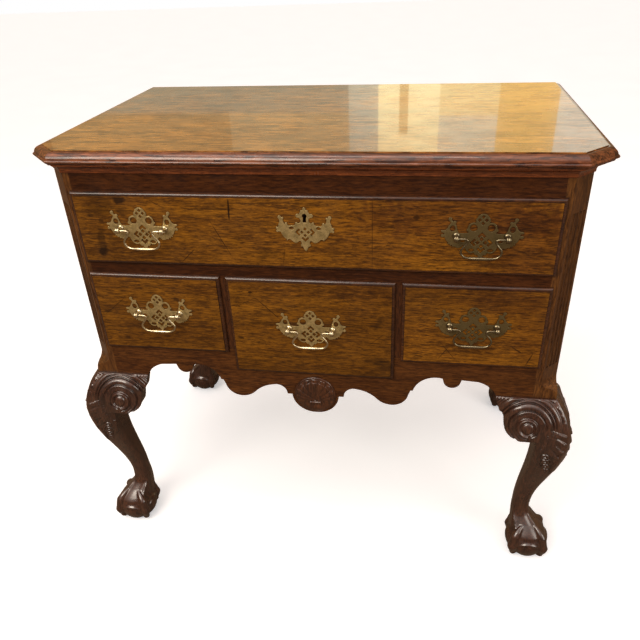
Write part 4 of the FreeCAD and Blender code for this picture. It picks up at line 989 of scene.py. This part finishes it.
def make_shell(materials):
    """Scallop shell carved on the pendant, with the short bar its ribs rise from."""
    turns = np.radians(np.arange(-180, 180, 1.25))
    cos, sin = np.cos(turns), np.sin(turns)
    limit = SHELL_MIDDLE * cos + np.sqrt(SHELL_ROUND ** 2 - (SHELL_MIDDLE * sin) ** 2)
    rings = []
    for share in np.linspace(0.02, 1, 70):
        relief = shell_relief(np.degrees(turns), share, limit)
        rings.append(ring(limit * share * sin, FRONT - relief, SHELL_FOOT + limit * share * cos))
    rings.append(ring(limit * sin, FRONT + 0.6, SHELL_FOOT + limit * cos))
    ends = ((-11, 0.6), (-10.6, 2), (-9.6, 2.9), (-8, 3.1), (-6.6, 2.5))
    bar = turned(ends + tuple((-place, radius) for place, radius in ends[::-1]), 20,
                 np.array([0, FRONT - 3.4, SHELL_FOOT - 3.5]), "X")
    data = new_mesh("shell", *joined([closed_rings(rings), bar]))
    stand_in("shell", data, materials["shell"], "case", node="apron_shell")


# ---------- handles

POST_ASIDE = 36.7    # from the middle of a pull to each of its posts
SHANK_HALF = 2.2
# Collar and neck of a post: how far in front of the plate, radius
COLLAR = ((-0.2, 5), (0.4, 5.4), (1.1, 5.1), (1.6, 3.9), (2.2, 3.4), (4.8, 2.9), (6.6, 3.1), (8.2, 3.4))
# Half of the knob's outline: place along its bore, radius
KNOB = ((0, 4.25), (0.7, 4.75), (1.7, 4.9), (2.7, 4.65), (3.4, 4), (3.8, 3.1), (3.8, 1.9))
# Right half of the drop handle from its pin to its grip, about the pins' line
BAIL = [
    (38.3, 0), (34, 0), (29, 0), (24, -0.1), (21, -1.3), (20.2, -3.8), (21.8, -7.6), (25.4, -12.2),
    (28.2, -16.4), (29.2, -20), (28, -24.2), (24.6, -27.6), (19.6, -29.6), (12, -30.3)]
PIN_RADIUS = 1.1


def square_ring(x, y, z, half):
    """Corners of a square bar that lies along Y."""
    return np.array([(x + a * half, y, z + b * half) for a, b in ((-1, -1), (1, -1), (1, 1), (-1, 1))])


def handle_post(x, y, z):
    """Cast post: collar, neck, a knob bored for the handle, and a square shank."""
    collar = turned([(PLATE_FACE - proud, radius) for proud, radius in COLLAR], 24, np.array([x, 0, z]), "Y")
    knob = hoop(KNOB + tuple((-place, radius) for place, radius in KNOB[:0:-1]), 28, np.array([x, y, z]))
    shank = closed_rings([square_ring(x, PLATE_FACE - 0.5, z, SHANK_HALF),
                          square_ring(x, SHANK_END + 0.6, z, SHANK_HALF),
                          square_ring(x, SHANK_END, z, 0.7 * SHANK_HALF)])
    return joined([collar, knob, shank])


def handle_bail(x, y, z):
    """Drop handle: pins in the posts, a swan-necked bow, thickest where it is gripped."""
    path = smooth_path(BAIL + [(0, -30.4)] + [(-a, b) for a, b in BAIL[::-1]], 6)
    heading = np.gradient(path, axis=0)
    heading /= np.linalg.norm(heading, axis=1)[:, None]
    grip = smooth_step(-path[:, 1], 28, 30) * smooth_step(np.abs(path[:, 0]), 19, 7)
    radius = 1.7 + 0.8 * grip
    radius[[0, -1]] = PIN_RADIUS
    turns = np.linspace(0, 2 * np.pi, 14, endpoint=False)
    cos, sin = np.cos(turns), np.sin(turns)
    return closed_rings([ring(x + a - rise * r * cos, y + r * sin, z + b + run * r * cos)
                         for (a, b), (run, rise), r in zip(path, heading, radius)])


def arc(x, z, radius, start, end):
    """Points round a knob, from one angle to another in degrees."""
    turns = np.radians(np.linspace(start, end, int(abs(end - start) / 24) + 2))
    return [(x + radius * math.cos(t), z + radius * math.sin(t)) for t in turns]


def oval(x, z, half_x, half_z):
    return [(x + half_x * u, z + half_z * v) for u, v in arc(0, 0, 1, 0, 340)]


def diamonds(z, offset, half):
    """Four small diamonds about a middle."""
    found = []
    for dx, dz in ((0, 1), (1, 0), (0, -1), (-1, 0)):
        a, b = dx * offset, z + dz * offset
        found.append([(a, b + half), (a + half, b), (a, b - half), (a - half, b)])
    return found


def chevron(z, outer, inner, arm, quarter):
    """Slot bent round a corner of the lattice, turned by quarters from the top."""
    half = (outer - inner) / 2
    points = [(0, outer), (arm, outer - arm), (arm - half, outer - arm - half), (0, inner),
              (half - arm, outer - arm - half), (-arm, outer - arm)]
    cos, sin = math.cos(quarter * math.pi / 2), math.sin(quarter * math.pi / 2)
    return [(a * cos + b * sin, z - a * sin + b * cos) for a, b in points]


def both_ways(points):
    """Whole outline from its right half, drawn from the top middle to the bottom middle."""
    return points + [(-x, z) for x, z in points[::-1] if abs(x) > 0.01]


# Right half of a pull's back plate, in millimetres about the middle of its post line
PULL_OUTLINE = [
    (0, 35), (3.6, 34.2), (6.8, 32), (8.2, 29.2), (9.9, 27), (10.6, 24), (9.6, 21.4),
    *arc(12.6, 13.2, 8.2, 108, 8), *arc(20.8, 9.6, 2, 78, -105), (19.8, 5), (24, 4.4), (33, 4.4),
    (35.2, 7.6), (36.2, 11.5), (37.2, 15.2), (38.6, 18.2), *arc(39.8, 21.2, 2.2, 235, 25), (42.8, 22.4),
    *arc(46.6, 26, 2.7, 215, -62), (46.4, 22), (45.4, 20.2), (46.6, 17.8), (48.6, 15.4), (49.8, 12.2),
    (51.6, 9.8), (54, 8.4), *arc(57.2, 6.8, 1.7, 110, -95), (54.6, 4.4), (53.8, 2.8),
    *arc(56.4, 0, 2.4, 130, -140), (53.2, -2.4), (51.8, -5.6), (50.2, -8.6), (47.6, -10.4), (48.6, -13.2),
    (45.4, -12.6), (44.6, -15.8), (42, -14.4), (40.8, -17.4), (38.2, -16.8), (35, -18.6), (31, -18.8),
    (28.4, -16.6), (26.2, -14.4), (23.8, -15.6), (22.8, -18.4), (21.4, -21.8), (19, -24.8), (15.6, -26.8),
    (12, -27), (9.6, -25.6), (8.4, -28), (6.4, -29.8), (4.6, -28.8), (3.2, -31.6), (0, -36.2)]
# Right half of the escutcheon, about the middle of the keyhole's round
ESCUTCHEON_OUTLINE = [
    *arc(0, 11.4, 2.2, 90, -25), (3, 9.4), *arc(4.2, 7.8, 1.6, 100, -45), (6.6, 5.6), (7.6, 4.4),
    *arc(10.4, 0.4, 3, 130, -115), (7.8, -3.6), (6.5, -5.1), (5.9, -7.4), (6.3, -9.1), (7.7, -10.8),
    (9.6, -11.6), *arc(12.8, -11.6, 1.7, 160, -40), (15.4, -14.2), (17.4, -15.2), (21, -15.5), (24.6, -15.9),
    (26.4, -14.6), *arc(28.8, -12.6, 2, 205, -10), (32, -11.6), (33.2, -8.6), (33.6, -6),
    *arc(33.8, -3.4, 1.5, 215, 40), *arc(38.4, -2.4, 2.8, 170, -65), (39.2, -6.6), (38.8, -8.6),
    (39.4, -11.2), (40.8, -13.8), (41, -16.6), *arc(43.2, -19.8, 1.8, 125, -80),
    *arc(42.9, -24.4, 1.9, 80, -150), (39.6, -25.6), (37.6, -26), (37, -28.2), (35.4, -31.4), (33.6, -34.4),
    (31, -36.8), (29.6, -37.2), (28.6, -40.4), (27.2, -38.2), (25, -37.6), (23, -38.5), (21, -40.2),
    (19.2, -41.9), (17, -43.2), (14.4, -43.9), (12.4, -42.8), (10.2, -41), (8.4, -39.9), (7.2, -41.4),
    (6.4, -43.2), (6.3, -45), (7.9, -47.4), (7, -49.2), (5.5, -49.8), (4.4, -49.4), (3.6, -52), (2.4, -54.6),
    (0, -57.4)]
KEYHOLE = (0, 690)    # X and Z of the middle of the keyhole's round
PLATE_HALF = 0.65    # half of a plate's thickness
EDGE_ROUND = 0.48


def cast_plate(name, outline, holes, x, z):
    """Thin plate sawn to an outline and pierced, with its edges rounded."""
    drawn = bpy.data.curves.new(name, "CURVE")
    drawn.dimensions = "2D"
    drawn.fill_mode = "BOTH"
    drawn.extrude = (PLATE_HALF - EDGE_ROUND) * MM
    drawn.bevel_depth = EDGE_ROUND * MM
    drawn.offset = -EDGE_ROUND * MM
    drawn.bevel_resolution = 1
    for points in [outline] + holes:
        loop = drawn.splines.new("POLY")
        loop.points.add(len(points) - 1)
        loop.points.foreach_set("co", [c * MM for a, b in points for c in (a, b, 0, 1000)])
        loop.use_cyclic_u = True
    item = bpy.data.objects.new(name, drawn)
    SCENE.collection.objects.link(item)
    made = bpy.data.meshes.new_from_object(item.evaluated_get(bpy.context.evaluated_depsgraph_get()))
    bpy.data.objects.remove(item)
    bm = bmesh.new()
    bm.from_mesh(made)
    bmesh.ops.remove_doubles(bm, verts=bm.verts[:], dist=0.02 * MM)
    bm.to_mesh(made)
    bm.free()
    flat = read_points(made)
    write_points(made, ring(x + flat[:, 0], PLATE_FACE + PLATE_HALF - flat[:, 2], z + flat[:, 1]))
    return made


def make_plates(materials):
    """Pierced back plates of the five pulls, and the escutcheon."""
    outline = both_ways(PULL_OUTLINE)
    holes = diamonds(25.2, 4.9, 2.9) + diamonds(-9.9, 5.6, 3.4)
    holes += [chevron(-9.9, 16.6, 11.4, 6.4, quarter) for quarter in range(4)]
    for side in (-1, 1):
        holes += [oval(side * 12.6, 13.2, 5.5, 5.5), oval(side * 42.6, 11.4, 4, 4.8),
                  oval(side * 27, -6.4, 4, 3.6), oval(side * 13.8, -22, 4.6, 2.7)]
    plans = [(name + "_plate", outline, holes, x, z, drawer) for name, (x, y, z), drawer in PULLS]
    keyhole = arc(0, 0, 3.6, -48, 228) + [(-2.4, -10.5), (2.4, -10.5)]
    pierced = [keyhole] + diamonds(-26, 5.1, 2.6) + [chevron(-26, 15.6, 11.4, 6, q) for q in (1, 2, 3)]
    pierced += [oval(side * 20.9, -19.6, 3.6, 2.4) for side in (-1, 1)]
    plans.append(("escutcheon", both_ways(ESCUTCHEON_OUTLINE), pierced, *KEYHOLE, "top_drawer"))
    for name, edge, inner, x, z, drawer in plans:
        stand_in(name, cast_plate(name, edge, inner, x, z), materials["plate"], drawer, smooth=False)


def make_handles(materials):
    """Posts and drop handles of the five pulls."""
    for pull, (x, y, z), drawer in PULLS:
        posts = joined([handle_post(x + aside, y, z) for aside in (-POST_ASIDE, POST_ASIDE)])
        bail = handle_bail(x, y, z)
        for name, shape, body in ((pull + "_posts", posts, drawer), (pull + "_bail", bail, pull + "_bail")):
            stand_in(name, new_mesh(name, *shape), materials["brass"], body)


make_camera()
make_light()
make_world()
make_floor()
MATERIALS = make_materials()
dress_nodes(MATERIALS)
make_legs(MATERIALS)
make_shell(MATERIALS)
make_plates(MATERIALS)
make_handles(MATERIALS)
